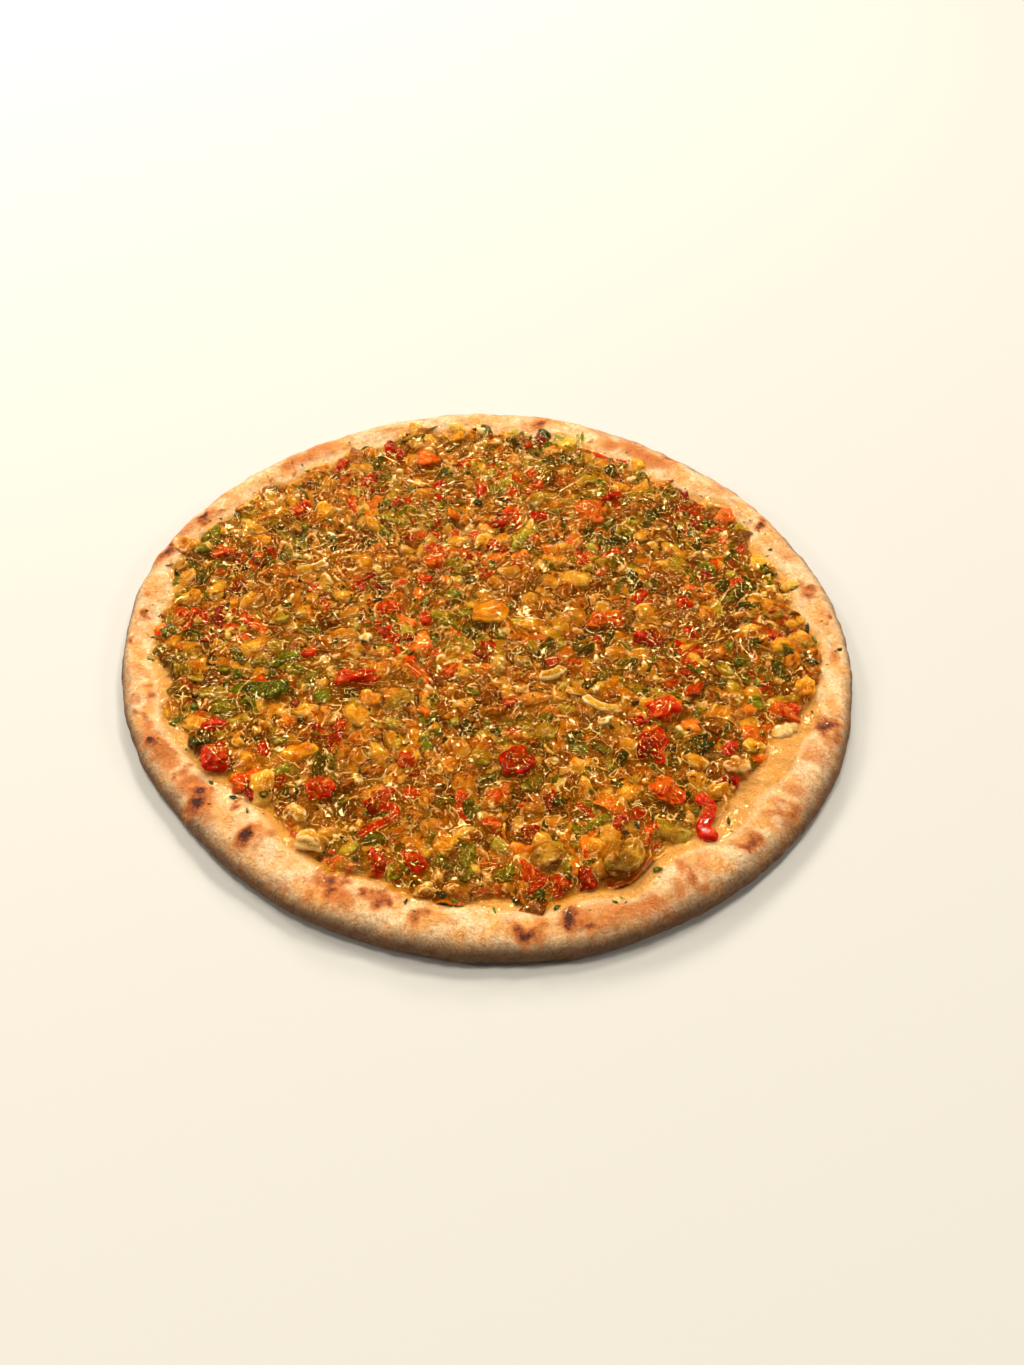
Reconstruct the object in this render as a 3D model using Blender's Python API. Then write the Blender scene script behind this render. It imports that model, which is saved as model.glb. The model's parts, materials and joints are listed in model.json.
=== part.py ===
# Lahmacun: a thin round flatbread with a puffed rim, spread with a wet, finely chopped topping.
# Metres, +Z up. The origin is the middle of the underside, and -Y is the side nearest the viewer.

import math
import random

import bmesh
import bpy
from mathutils import Matrix, Vector, noise

MM = 0.001
GAP = 0.3 * MM
SLIVER = 0.02 * MM
ANGLE_STEPS = 80

# Bread. A wave is (times round the edge, height in mm, angle of its crest in degrees times the count).
EDGE_RADIUS = 139.6 * MM
EDGE_WAVES = ((1, 0.4, 172), (2, 3.2, -89), (3, 0.7, 180), (4, 0.8, -33), (9, 0.3, 40))
FLOOR_HEIGHT = 4.6 * MM
RIM_HEIGHT = 9.6 * MM
RIM_HEIGHT_WAVES = ((2, 0.5, 200), (5, 0.4, 80), (11, 0.3, 10))
SLOPE_WIDTH = 7 * MM
SLOPE_RISE = 2.2 * MM
RIM_ROUGHNESS = 0.45 * MM
RIM_ROUGHNESS_LENGTH = 9 * MM

# Bare rim, in mm, at every 15 degrees counter-clockwise from +X.
BARE_RIM_WIDTHS = (
    16, 19, 15, 21, 23, 20, 19, 14, 17, 18, 14, 15,
    15, 17, 18, 22, 20, 18, 19, 19, 22, 26, 27, 15,
)
SCALLOP_WAVES = ((17, 0.9, 30), (23, 0.7, 100), (31, 0.5, 250))

# The rim's section: how far in from the edge, as a share of the bare rim's width, and how high, as a
# share of the rim's height.
RIM_SECTION = (
    (0.17, 0.00), (0.05, 0.11), (0.00, 0.31), (0.02, 0.55), (0.10, 0.77),
    (0.24, 0.94), (0.43, 1.00), (0.64, 0.95), (0.83, 0.84),
)

# Blisters: angle in degrees, how far in from the edge, width and height in mm.
BLISTERS = (
    (207, 8, 10, 0.8), (214, 10, 12, 0.9), (219, 12, 9, 0.8), (232, 11, 13, 0.9),
    (247, 11, 16, 0.7), (262, 9, 12, 0.6), (276, 8, 12, 0.7), (283, 8, 10, 0.6),
    (301, 10, 11, 0.8), (311, 9, 10, 0.6), (318, 8, 12, 0.7), (337, 10, 12, 0.6),
    (8, 8, 9, 0.8), (27, 7, 10, 0.6), (52, 8, 12, 0.5), (80, 8, 12, 0.5),
    (152, 7, 10, 0.5), (163, 6, 9, 0.6), (178, 8, 9, 0.5), (196, 9, 10, 0.6),
)

# Herb flakes that lie on the bare rim: angle in degrees, how far in from the edge and length in mm.
RIM_FLAKES = (
    (204, 15, 4.5), (219, 15, 3.5), (224, 17, 4.0), (228, 17, 3.5), (259, 14, 3.5),
    (272, 15, 4.5), (281, 15, 5.0), (289, 12, 5.5), (297, 17, 4.0), (312, 19, 4.5),
    (354, 5, 3.5), (9, 14, 3.5), (20, 12, 3.5), (166, 9, 3.5), (188, 12, 4.5),
)
RIM_FLAKE_THICKNESS = 1.3 * MM

# Topping. The rings are shares of its radius.
TOPPING_THICKNESS = 2.7 * MM
TOPPING_EDGE_THICKNESS = 1.1 * MM
TOPPING_ROLL = 0.7 * MM
TOPPING_ROLL_LENGTH = 24 * MM
TOPPING_RINGS = (0.995, 0.94, 0.82, 0.66, 0.46, 0.24)
SEED = 8

# Small bits lie on a lattice. STRAY is a share of the spacing, TIP is in radians and RAISE, the height of
# a bit's middle over the bare core, is a share of the bit's height.
BIT_SPACING = 13.9 * MM
BIT_STRAY = 0.26
BIT_TIP = 0.25
BIT_RAISE = 0.08
FLAKE_RAISE = 0.1
LARGE_BIT_RAISE = 0.22
LEAST_COVER = 0.25 * MM

# Shapes of the bits, as shares of their half sizes. The bend is in radians.
DICE_CUBE = 1.6
DICE_ROUGHNESS = 0.14
NUB_ROUGHNESS = 0.1
NUB_WAIST = 0.22
LUMP_ROLL = 0.34
LUMP_ROUGHNESS = 0.05
BAR_TAPER = 0.45
RIBBON_SWAY = 0.6
SLICE_BEND = 1.5

# The largest bits, each a solid of its own: kind, x, y, length, width, height in mm and turn in degrees.
LARGE_BITS = {
    "tomato_1": ("lump", -93, -66, 14, 12, 8, 20),
    "tomato_2": ("lump", -96, -51, 10, 8, 6, 60),
    "tomato_3": ("lump", -47, -29, 17, 9, 7, 10),
    "tomato_4": ("lump", 12, -69, 14, 13, 9, 60),
    "tomato_5": ("lump", 62, -80, 11, 15, 7, 25),
    "tomato_6": ("lump", 59, -60, 12, 16, 7, -10),
    "tomato_7": ("lump", 65, -44, 15, 11, 7, 30),
    "tomato_8": ("lump", 62, -8, 13, 9, 6, -20),
    "tomato_9": ("lump", -28, 100, 14, 12, 7, 40),
    "tomato_10": ("lump", 43, 65, 12, 14, 6, 15),
    "tomato_11": ("lump", -80, 67, 13, 10, 6, 35),
    "tomato_12": ("lump", 108, -45, 12, 8, 6, -10),
    "tomato_13": ("lump", 46, 1, 14, 8, 6, 5),
    "tomato_14": ("lump", 100, 61, 11, 8, 5.5, 30),
    "tomato_15": ("lump", -55, -79, 11, 10, 6.5, 0),
    "green_pepper_1": ("slice", -80, -35, 17, 9, 7, 12),
    "green_pepper_2": ("slice", 13, 47, 12, 7, 5.5, 80),
    "red_pepper_1": ("ribbon", -35, -92, 20, 4.6, 5.5, 52),
    "red_pepper_2": ("ribbon", 75, -91, 19, 5.4, 5, -68),
    "onion_1": ("slice", 42, -42, 15, 6, 5, -28),
    "onion_2": ("slice", 25, -27, 11, 7, 6, 25),
    "garlic_1": ("nub", 88, -70, 11, 9, 7.5, 20),
    "garlic_2": ("nub", 5, -21, 9, 8, 6, 80),
    "yellow_pepper_1": ("lump", 2, 5, 14, 13, 7, 10),
    "mince_1": ("lump", 47, -107, 15, 14, 10, 30),
    "mince_2": ("nub", 22, -107, 12, 9, 8, 15),
    "mince_3": ("nub", -56, -100, 12, 8, 7, -15),
}

COLOURS = {
    "bread": ((0.80, 0.60, 0.36), 0.75),
    "topping": ((0.50, 0.24, 0.04), 0.25),
    "tomato": ((0.62, 0.06, 0.02), 0.2),
    "green_pepper": ((0.13, 0.25, 0.02), 0.2),
    "red_pepper": ((0.62, 0.03, 0.01), 0.2),
    "yellow_pepper": ((0.72, 0.33, 0.03), 0.2),
    "onion": ((0.70, 0.55, 0.30), 0.25),
    "garlic": ((0.72, 0.56, 0.34), 0.3),
    "mince": ((0.42, 0.25, 0.10), 0.35),
}


def clear_scene():
    for item in list(bpy.data.objects):
        bpy.data.objects.remove(item)


def material(name):
    colour, roughness = COLOURS[name]
    made = bpy.data.materials.get(name) or bpy.data.materials.new(name)
    made.use_nodes = True
    shader = made.node_tree.nodes["Principled BSDF"]
    shader.inputs["Base Color"].default_value = (*colour, 1)
    shader.inputs["Roughness"].default_value = roughness
    shader.inputs["Metallic"].default_value = 0
    return made


def add_object(name, mesh, material_name):
    item = bpy.data.objects.new(name, mesh)
    bpy.context.scene.collection.objects.link(item)
    mesh.materials.clear()
    mesh.materials.append(material(material_name))
    mesh.shade_smooth()
    mesh.set_sharp_from_angle(angle=math.radians(50))
    return item


def mesh_from(bm, name):
    bmesh.ops.recalc_face_normals(bm, faces=bm.faces)
    mesh = bpy.data.meshes.new(name)
    bm.to_mesh(mesh)
    bm.free()
    return mesh


# The outlines, as functions of the angle round the middle

def waves(angle, terms):
    return sum(size * math.cos(count * angle - math.radians(crest)) for count, size, crest in terms) * MM


def bare_rim_width(angle):
    steps = len(BARE_RIM_WIDTHS)
    place = (angle / math.tau * steps) % steps
    first = int(place)
    share = place - first
    before, here, there, after = (BARE_RIM_WIDTHS[(first + k) % steps] for k in (-1, 0, 1, 2))
    curve = 2 * here + (there - before) * share
    curve += (2 * before - 5 * here + 4 * there - after) * share**2
    curve += (3 * here - before - 3 * there + after) * share**3
    return curve / 2 * MM + waves(angle, SCALLOP_WAVES)


def edge_radius(angle):
    return EDGE_RADIUS + waves(angle, EDGE_WAVES)


def topping_radius(angle):
    return edge_radius(angle) - bare_rim_width(angle)


def at(angle, radius, height):
    return Vector((radius * math.cos(angle), radius * math.sin(angle), height))


def bread_top(x, y):
    # The bread's upper face inside the topping's outline: a flat floor, then a slope up to the rim.
    radius = math.hypot(x, y)
    from_edge = topping_radius(math.atan2(y, x)) - radius
    return FLOOR_HEIGHT + SLOPE_RISE * min(1, max(0, 1 - from_edge / SLOPE_WIDTH))


def topping_top(x, y):
    # The bare core of the topping: rolling, and thinner over the slope at its edge.
    radius = math.hypot(x, y)
    from_edge = topping_radius(math.atan2(y, x)) - radius
    share = min(1, max(0, from_edge / SLOPE_WIDTH))
    roll = TOPPING_ROLL * noise.noise(Vector((x, y, 0)) / TOPPING_ROLL_LENGTH)
    thickness = TOPPING_EDGE_THICKNESS + (TOPPING_THICKNESS - TOPPING_EDGE_THICKNESS) * share
    return bread_top(x, y) + GAP + thickness + roll * share


def blister_height(point):
    total = 0
    for degrees, inward, width, height in BLISTERS:
        centre = at(math.radians(degrees), edge_radius(math.radians(degrees)) - inward * MM, 0)
        away = (point.xy - centre.xy).length / (width * MM / 2)
        total += height * MM * math.exp(-away * away)
    return total


def ring_faces(bm, inner, outer):
    count = len(outer)
    for k in range(count):
        after = (k + 1) % count
        bm.faces.new((inner[k], inner[after], outer[after], outer[k]))


def fan_faces(bm, middle, ring):
    for k, corner in enumerate(ring):
        bm.faces.new((middle, corner, ring[(k + 1) % len(ring)]))


ANGLES = [math.tau * k / ANGLE_STEPS for k in range(ANGLE_STEPS)]


def make_bread():
    bm = bmesh.new()
    rings = []
    for inward, up in RIM_SECTION:
        ring = []
        for angle in ANGLES:
            edge = edge_radius(angle)
            rim_height = RIM_HEIGHT + waves(angle, RIM_HEIGHT_WAVES)
            point = at(angle, edge - inward * bare_rim_width(angle), up * rim_height)
            if up > 0.5:
                rough = RIM_ROUGHNESS * noise.noise(point / RIM_ROUGHNESS_LENGTH)
                point.z += rough + blister_height(point)
            ring.append(bm.verts.new(point))
        rings.append(ring)
    slope_top = [bm.verts.new(at(a, topping_radius(a), FLOOR_HEIGHT + SLOPE_RISE)) for a in ANGLES]
    slope_foot = [bm.verts.new(at(a, topping_radius(a) - SLOPE_WIDTH, FLOOR_HEIGHT)) for a in ANGLES]
    rings += [slope_top, slope_foot]
    for outer, inner in zip(rings, rings[1:]):
        ring_faces(bm, inner, outer)
    fan_faces(bm, bm.verts.new((0, 0, FLOOR_HEIGHT)), slope_foot)
    bm.faces.new(list(reversed(rings[0])))
    return add_object("bread", mesh_from(bm, "bread"), "bread")


def make_core(name, gap=0.0):
    # The topping's bare core. With a gap it is the cutter that fits a large bit to the core.
    bm = bmesh.new()
    foot = [bm.verts.new(at(a, topping_radius(a) - SLOPE_WIDTH, FLOOR_HEIGHT + GAP)) for a in ANGLES]
    edge_height = FLOOR_HEIGHT + SLOPE_RISE + GAP
    edge = [bm.verts.new(at(a, topping_radius(a) + gap, edge_height)) for a in ANGLES]
    fan_faces(bm, bm.verts.new((0, 0, FLOOR_HEIGHT + GAP)), foot)
    ring_faces(bm, foot, edge)
    outer = edge
    for share in TOPPING_RINGS:
        inner = []
        for angle in ANGLES:
            point = at(angle, topping_radius(angle) * share, 0)
            height = topping_top(point.x, point.y) + gap
            inner.append(bm.verts.new(at(angle, point.length + gap, height)))
        ring_faces(bm, inner, outer)
        outer = inner
    fan_faces(bm, bm.verts.new((0, 0, topping_top(0, 0) + gap)), outer)
    return mesh_from(bm, name)


# The shapes of the bits, each about the origin with its length along X

def jitter(bm, amount, draw):
    for vert in bm.verts:
        vert.co *= 1 + draw.uniform(-amount, amount)


def stretch(bm, length, width, height):
    bmesh.ops.scale(bm, vec=(length / 2, width / 2, height / 2), verts=bm.verts)


def dice_shape(length, width, height, draw):
    bm = bmesh.new()
    bmesh.ops.create_cube(bm, size=DICE_CUBE)
    jitter(bm, DICE_ROUGHNESS, draw)
    stretch(bm, length, width, height)
    return bm


def nub_shape(length, width, height, draw, detail=1):
    bm = bmesh.new()
    bmesh.ops.create_icosphere(bm, subdivisions=detail, radius=1)
    jitter(bm, NUB_ROUGHNESS, draw)
    for vert in bm.verts:
        waist = 1 - NUB_WAIST * math.exp(-((vert.co.x / 0.25) ** 2))
        vert.co.y *= waist
        vert.co.z *= waist
    stretch(bm, length, width, height)
    return bm


def lump_shape(length, width, height, draw, detail=2):
    bm = bmesh.new()
    bmesh.ops.create_icosphere(bm, subdivisions=detail, radius=1)
    offset = Vector([draw.uniform(0, 50) for _ in range(3)])
    for vert in bm.verts:
        rough = draw.uniform(-LUMP_ROUGHNESS, LUMP_ROUGHNESS)
        vert.co *= 1 + LUMP_ROLL * noise.noise(vert.co * 1.5 + offset) + rough
    stretch(bm, length, width, height)
    return bm


def bar_shape(length, width, height, sections, path):
    # A bar of flat section that follows path, which gives the middle's x, y, z and turn at a share.
    bm = bmesh.new()
    loops = []
    for k in range(sections + 1):
        share = k / sections
        middle, turn = path(share)
        taper = 1 - BAR_TAPER * abs(2 * share - 1) ** 3
        side = Vector((-math.sin(turn), math.cos(turn), 0)) * width / 2 * taper
        up = Vector((0, 0, height / 2))
        corners = (middle + side + up, middle - side + up, middle - side - up, middle + side - up)
        loops.append([bm.verts.new(corner) for corner in corners])
    for first, second in zip(loops, loops[1:]):
        for k in range(4):
            bm.faces.new((first[k], first[(k + 1) % 4], second[(k + 1) % 4], second[k]))
    bm.faces.new(loops[0])
    bm.faces.new(list(reversed(loops[-1])))
    return bm


def ribbon_shape(length, width, height, draw, sections=8):
    # A pepper strip with a gentle S and a hooked end.
    def path(share):
        along = (share - 0.5) * length * 0.9
        sway = width * RIBBON_SWAY
        turn = math.atan2(sway * math.tau * math.cos(math.tau * share), length * 0.9)
        rise = 0.12 * height * math.cos(math.tau * share)
        return Vector((along, sway * math.sin(math.tau * share), rise)), turn
    return bar_shape(length, width, height * 0.72, sections, path)


def slice_shape(length, width, height, draw, sections=6):
    # A slice through a pepper or an onion: an arched band.
    radius = length / (2 * math.sin(SLICE_BEND / 2))

    def path(share):
        turn = (share - 0.5) * SLICE_BEND
        side = radius * (1 - math.cos(turn)) - width * 0.15
        return Vector((radius * math.sin(turn), side, 0.1 * height * math.sin(math.pi * share))), turn
    return bar_shape(length, width * 0.66, height * 0.8, sections, path)


def strip_shape(length, width, height, draw):
    return slice_shape(length, width * 1.3, height, draw, sections=3)


def flake_shape(length, width, height, draw, corners=6):
    # A thin, wavy scrap of leaf, whose two faces are split into triangles alike.
    bm = bmesh.new()
    sheets = []
    radii = [draw.uniform(0.75, 1.1) for _ in range(corners)]
    for side in (1, -1):
        loop = []
        for k, radius in enumerate(radii):
            angle = math.tau * k / corners
            wave = 0.55 * height * math.sin(2 * angle + 1)
            x = math.cos(angle) * radius * length / 2
            y = math.sin(angle) * radius * width / 2
            loop.append(bm.verts.new((x, y, wave + side * height / 2)))
        fan_faces(bm, bm.verts.new((0, 0, side * height / 2)), loop)
        sheets.append(loop)
    ring_faces(bm, sheets[0], sheets[1])
    return bm


SHAPES = {
    "dice": dice_shape, "nub": nub_shape, "strip": strip_shape, "flake": flake_shape,
    "lump": lump_shape, "ribbon": ribbon_shape, "slice": slice_shape,
}

# Small bits: kind, share of them, and the range of length, width and height in mm.
SMALL_BITS = (
    ("dice", 0.46, (6.0, 9.5), (5.0, 8.0), (5.0, 7.0)),
    ("nub", 0.26, (7.0, 10.5), (6.0, 8.5), (5.5, 7.5)),
    ("strip", 0.14, (9.0, 12.5), (3.8, 5.4), (4.5, 6.0)),
    ("flake", 0.14, (6.0, 9.0), (4.0, 6.0), (1.6, 2.0)),
)


def bit_mesh(name, bm, turn, tilt, place):
    matrix = Matrix.Translation(place) @ Matrix.Rotation(turn, 4, "Z") @ Matrix.Rotation(tilt, 4, "Y")
    bmesh.ops.transform(bm, matrix=matrix, verts=bm.verts)
    return mesh_from(bm, name)


def bare_places(draw):
    # A jittered triangular lattice inside the topping's outline.
    row_height = BIT_SPACING * math.sqrt(3) / 2
    stray = BIT_SPACING * BIT_STRAY
    rows = int(EDGE_RADIUS / row_height) + 1
    for row in range(-rows, rows + 1):
        for column in range(-rows, rows + 1):
            x = (column + 0.5 * (row % 2)) * BIT_SPACING + draw.uniform(-stray, stray)
            y = row * row_height + draw.uniform(-stray, stray)
            yield x, y


def pick_small_bit(draw):
    pick = draw.random()
    for kind, share, *ranges in SMALL_BITS:
        if pick < share:
            return kind, [draw.uniform(low, high) * MM for low, high in ranges]
        pick -= share
    return kind, [low * MM for low, high in ranges]


# How far a large bit reaches lengthwise, as a share of its length, and each kind to its side, as a share
# of its width.
LENGTH_REACH = 0.62
SIDE_REACH = {"lump": 0.66, "nub": 0.6, "slice": 0.85, "ribbon": 1.3}


def clear_of_large_bits(x, y, reach):
    for kind, large_x, large_y, length, width, height, turn in LARGE_BITS.values():
        offset = Vector((x - large_x * MM, y - large_y * MM))
        offset.rotate(Matrix.Rotation(-math.radians(turn), 2))
        across = (
            offset.x / (length * MM * LENGTH_REACH + reach),
            offset.y / (width * MM * SIDE_REACH[kind] + reach),
        )
        if math.hypot(*across) < 1:
            return False
    return True


def lifted(mesh):
    # Raises a bit whose lowest corners would come through the underside of the topping.
    lift = max(bread_top(v.co.x, v.co.y) + GAP + LEAST_COVER - v.co.z for v in mesh.vertices)
    if lift > 0:
        mesh.transform(Matrix.Translation((0, 0, lift)))
    return mesh


def join_into(target, meshes, folder_name):
    # One Boolean union of all the small bits with what they lie on.
    folder = bpy.data.collections.new(folder_name)
    bpy.context.scene.collection.children.link(folder)
    for mesh in meshes:
        folder.objects.link(bpy.data.objects.new(mesh.name, mesh))
    union = target.modifiers.new("join", "BOOLEAN")
    union.operation = "UNION"
    union.operand_type = "COLLECTION"
    union.solver = "EXACT"
    union.collection = folder
    apply_modifiers(target)
    keep_outer_shell(target.data)
    for item in list(folder.objects):
        bpy.data.objects.remove(item)
    bpy.data.collections.remove(folder)


def apply_modifiers(item):
    graph = bpy.context.evaluated_depsgraph_get()
    made = bpy.data.meshes.new_from_object(item.evaluated_get(graph))
    made.name = item.name
    item.modifiers.clear()
    item.data = made


def keep_outer_shell(mesh):
    # Fills the small hollows that fusing sealed and drops loose scraps: only the largest shell stays.
    bm = bmesh.new()
    bm.from_mesh(mesh)
    bmesh.ops.dissolve_degenerate(bm, dist=SLIVER, edges=bm.edges)
    unseen = set(bm.faces)
    shells = []
    while unseen:
        shell = [unseen.pop()]
        for face in shell:
            linked = {near for edge in face.edges for near in edge.link_faces} & unseen
            unseen -= linked
            shell.extend(linked)
        shells.append(shell)
    shells.sort(key=len)
    for shell in shells[:-1]:
        bmesh.ops.delete(bm, geom=shell, context="FACES")
    bm.to_mesh(mesh)
    bm.free()


def make_topping():
    draw = random.Random(SEED)
    topping = add_object("topping", make_core("topping"), "topping")
    bits = []
    for x, y in bare_places(draw):
        kind, sizes = pick_small_bit(draw)
        turn = draw.uniform(0, math.tau)
        tilt = draw.uniform(-BIT_TIP, BIT_TIP)
        reach = max(sizes) / 2
        if math.hypot(x, y) + reach + GAP > topping_radius(math.atan2(y, x)):
            continue
        if not clear_of_large_bits(x, y, reach + GAP):
            continue
        bm = SHAPES[kind](*sizes, draw)
        up = sizes[2] * (FLAKE_RAISE if kind == "flake" else BIT_RAISE)
        place = (x, y, topping_top(x, y) + up)
        bits.append(lifted(bit_mesh(f"bit_{len(bits)}", bm, turn, tilt, place)))
    join_into(topping, bits, "small_bits")
    return topping


def make_rim_flakes(bread):
    draw = random.Random(SEED + 1)
    flakes = []
    for degrees, inward, length in RIM_FLAKES:
        angle = math.radians(degrees)
        clear_radius = topping_radius(angle) + length * MM * 0.6 + GAP
        place = at(angle, max(edge_radius(angle) - inward * MM, clear_radius), 0)
        _, spot, normal, _ = bread.ray_cast(Vector((place.x, place.y, 1)), Vector((0, 0, -1)))
        bm = flake_shape(length * MM, length * 0.7 * MM, RIM_FLAKE_THICKNESS, draw)
        lean = normal.to_track_quat("Z", "Y").to_matrix().to_4x4()
        spin = Matrix.Rotation(draw.uniform(0, math.tau), 4, "Z")
        matrix = Matrix.Translation(spot) @ lean @ spin
        bmesh.ops.transform(bm, matrix=matrix, verts=bm.verts)
        flakes.append(mesh_from(bm, f"rim_flake_{degrees}"))
    join_into(bread, flakes, "rim_flakes")


def make_large_bits(bread):
    # Each rests on the core, and one at the edge on the rim too, with the gap all over.
    rim_guide = add_object("rim_guide", bread.data.copy(), "bread")
    rim_guide.data.transform(Matrix.Translation((0, 0, GAP)))
    core_guide = add_object("core_guide", make_core("core_guide", GAP), "topping")
    made = []
    for k, (name, row) in enumerate(LARGE_BITS.items()):
        kind, x, y, length, width, height, turn = row
        draw = random.Random(SEED + 10 + k)
        bm = SHAPES[kind](length * MM, width * MM, height * MM, draw, *([2] if kind == "nub" else []))
        place = (x * MM, y * MM, topping_top(x * MM, y * MM) + height * MM * LARGE_BIT_RAISE)
        mesh = bit_mesh(name, bm, math.radians(turn), 0, place)
        item = add_object(name, mesh, name.rsplit("_", 1)[0])
        for guide in (core_guide, rim_guide):
            cut = item.modifiers.new(guide.name, "BOOLEAN")
            cut.operation = "DIFFERENCE"
            cut.solver = "EXACT"
            cut.object = guide
        apply_modifiers(item)
        keep_outer_shell(item.data)
        made.append(item)
    bpy.data.objects.remove(core_guide)
    bpy.data.objects.remove(rim_guide)
    return made


def centre_on_origin(items):
    corners = [item.matrix_world @ v.co for item in items for v in item.data.vertices]
    low = Vector([min(c[k] for c in corners) for k in range(3)])
    high = Vector([max(c[k] for c in corners) for k in range(3)])
    shift = Matrix.Translation((-(low.x + high.x) / 2, -(low.y + high.y) / 2, -low.z))
    for item in items:
        item.data.transform(shift)


def main():
    clear_scene()
    bread = make_bread()
    make_rim_flakes(bread)
    topping = make_topping()
    centre_on_origin([bread, topping, *make_large_bits(bread)])


main()
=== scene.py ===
import json
import math

import bmesh
import bpy
import numpy as np
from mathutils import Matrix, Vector, noise
from mathutils.bvhtree import BVHTree

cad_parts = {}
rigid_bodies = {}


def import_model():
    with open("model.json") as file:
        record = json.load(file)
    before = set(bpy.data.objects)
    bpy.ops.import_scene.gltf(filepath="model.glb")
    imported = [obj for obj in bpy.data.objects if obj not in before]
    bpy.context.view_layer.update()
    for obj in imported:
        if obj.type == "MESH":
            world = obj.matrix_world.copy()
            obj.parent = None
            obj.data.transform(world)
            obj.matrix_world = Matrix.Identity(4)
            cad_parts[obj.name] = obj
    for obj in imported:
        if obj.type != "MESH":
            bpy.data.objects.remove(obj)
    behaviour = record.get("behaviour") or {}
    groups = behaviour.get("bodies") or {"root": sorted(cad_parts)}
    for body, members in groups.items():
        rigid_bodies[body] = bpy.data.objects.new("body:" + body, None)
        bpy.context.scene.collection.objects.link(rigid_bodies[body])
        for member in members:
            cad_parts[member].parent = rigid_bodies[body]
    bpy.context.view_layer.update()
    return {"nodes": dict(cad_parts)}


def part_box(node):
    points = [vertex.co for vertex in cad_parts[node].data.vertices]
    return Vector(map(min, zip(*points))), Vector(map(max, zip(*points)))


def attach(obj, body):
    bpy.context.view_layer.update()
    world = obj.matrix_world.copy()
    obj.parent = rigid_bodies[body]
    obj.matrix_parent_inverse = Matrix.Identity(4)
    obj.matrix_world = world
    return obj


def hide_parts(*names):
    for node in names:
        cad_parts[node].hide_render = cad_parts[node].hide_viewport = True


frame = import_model()
print("frame loaded:", len(frame["nodes"]), "nodes")

# All sizes below are in mm, in the bread's own frame. The solids were centred on their box afterwards,
# so every point gets this shift before it goes into a mesh.
mm = 0.001
shift = np.array((1.0272, -0.1344, 0.0))

bread = {
    "edgeRadius": 139.6,
    "edgeWaves": ((1, 0.4, 172), (2, 3.2, -89), (3, 0.7, 180), (4, 0.8, -33), (9, 0.3, 40)),
    "bareWidths": (16, 19, 15, 21, 23, 20, 19, 14, 17, 18, 14, 15,
                   15, 17, 18, 22, 20, 18, 19, 19, 22, 26, 27, 15),  # every 15 degrees from +X
    "scallops": ((17, 0.9, 30), (23, 0.7, 100), (31, 0.5, 250)),
    "rimHeight": 9.6,
    "backDip": 1.2,
    "rimWaves": ((2, 0.5, 200), (5, 0.4, 80), (11, 0.3, 10)),
    "section": ((0.17, 0.00), (0.05, 0.11), (0.00, 0.31), (0.02, 0.55), (0.10, 0.77),
                (0.24, 0.94), (0.43, 1.00), (0.64, 0.95), (0.83, 0.84)),
    "sectionSteps": (4, 4, 5, 5, 5, 6, 7, 7, 6, 6, 4),
    "floor": 4.6,
    "slopeWidth": 7.0,
    "slopeRise": 2.2,
    "angleSteps": 1200,
    "lumps": ((17.0, 0.40), (7.0, 0.30), (3.2, 0.22), (1.6, 0.11)),  # size and height of the unevenness
    # angle, how far in from the edge, width, height, how browned
    "blisters": (
        (207, 8, 10, 0.8, 0.75), (214, 10, 12, 0.9, 0.35), (220.6, 7, 9, 0.8, 1.3),
        (226, 15, 6, 0.4, 0.8), (232, 11, 13, 0.9, 0.8), (247, 11, 16, 0.7, 0.7),
        (255, 14, 13, 0.3, 0.5), (262, 9, 12, 0.6, 0.4), (276, 8, 12, 0.7, 0.6),
        (283, 8, 10, 0.6, 0.75), (301, 10, 11, 0.8, 0.8), (311, 9, 10, 0.6, 0.5),
        (318, 8, 12, 0.7, 0.7), (337, 10, 12, 0.6, 0.75), (8, 8, 9, 0.8, 0.7),
        (27, 7, 10, 0.6, 0.7), (52, 8, 12, 0.5, 0.6), (80, 8, 12, 0.5, 0.6),
        (152, 7, 10, 0.5, 0.8), (163, 6, 9, 0.6, 0.7), (178, 8, 9, 0.5, 0.6),
        (196, 9, 10, 0.6, 0.65),
    ),
    "smallBlisters": 90,
    # where along the section each thing starts, is full, wanes and has gone, in points of the section
    "unevenBand": (0.3, 2.2, 9.3, 10.0),
    "goldenBand": (1.5, 5.5, 6.0, 8.5),
    "blisterBand": (2.5, 5.0),
    # sideBand marks the lower outer side, which gets flour and a painted shade
    "sideBand": (1.5, 6.8),
}

topping = {
    "thickness": 2.7,
    "edgeThickness": 1.1,
    "roll": 0.7,
    "rollLength": 24.0,
    "gap": 0.3,
    "edgeBand": (-0.6, 2.4),  # how far inside its edge it starts, and has its full thickness
}

# how far the oil soaks out past the topping, in mm, and the side where it soaks further
oil = {"reach": 8.0, "stains": 5.0, "wideAt": -38, "spread": 22, "extra": 9.0}


# Numbers that vary round the bread

def waves(angle, terms):
    return sum(size * np.cos(count * angle - math.radians(crest)) for count, size, crest in terms)


def degreesFrom(middle, angle):
    return (np.degrees(angle) - middle + 180) % 360 - 180


def catmullRom(before, here, there, after, share):
    curve = 2 * here + (there - before) * share
    curve = curve + (2 * before - 5 * here + 4 * there - after) * share**2
    return (curve + (3 * here - before - 3 * there + after) * share**3) / 2


def bareWidth(angle):
    widths = np.array(bread["bareWidths"], float)
    place = (angle / math.tau * len(widths)) % len(widths)
    first = place.astype(int) % len(widths)
    share = place - np.floor(place)
    four = (widths[(first + k) % len(widths)] for k in (-1, 0, 1, 2))
    return catmullRom(*four, share) + waves(angle, bread["scallops"])


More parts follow.
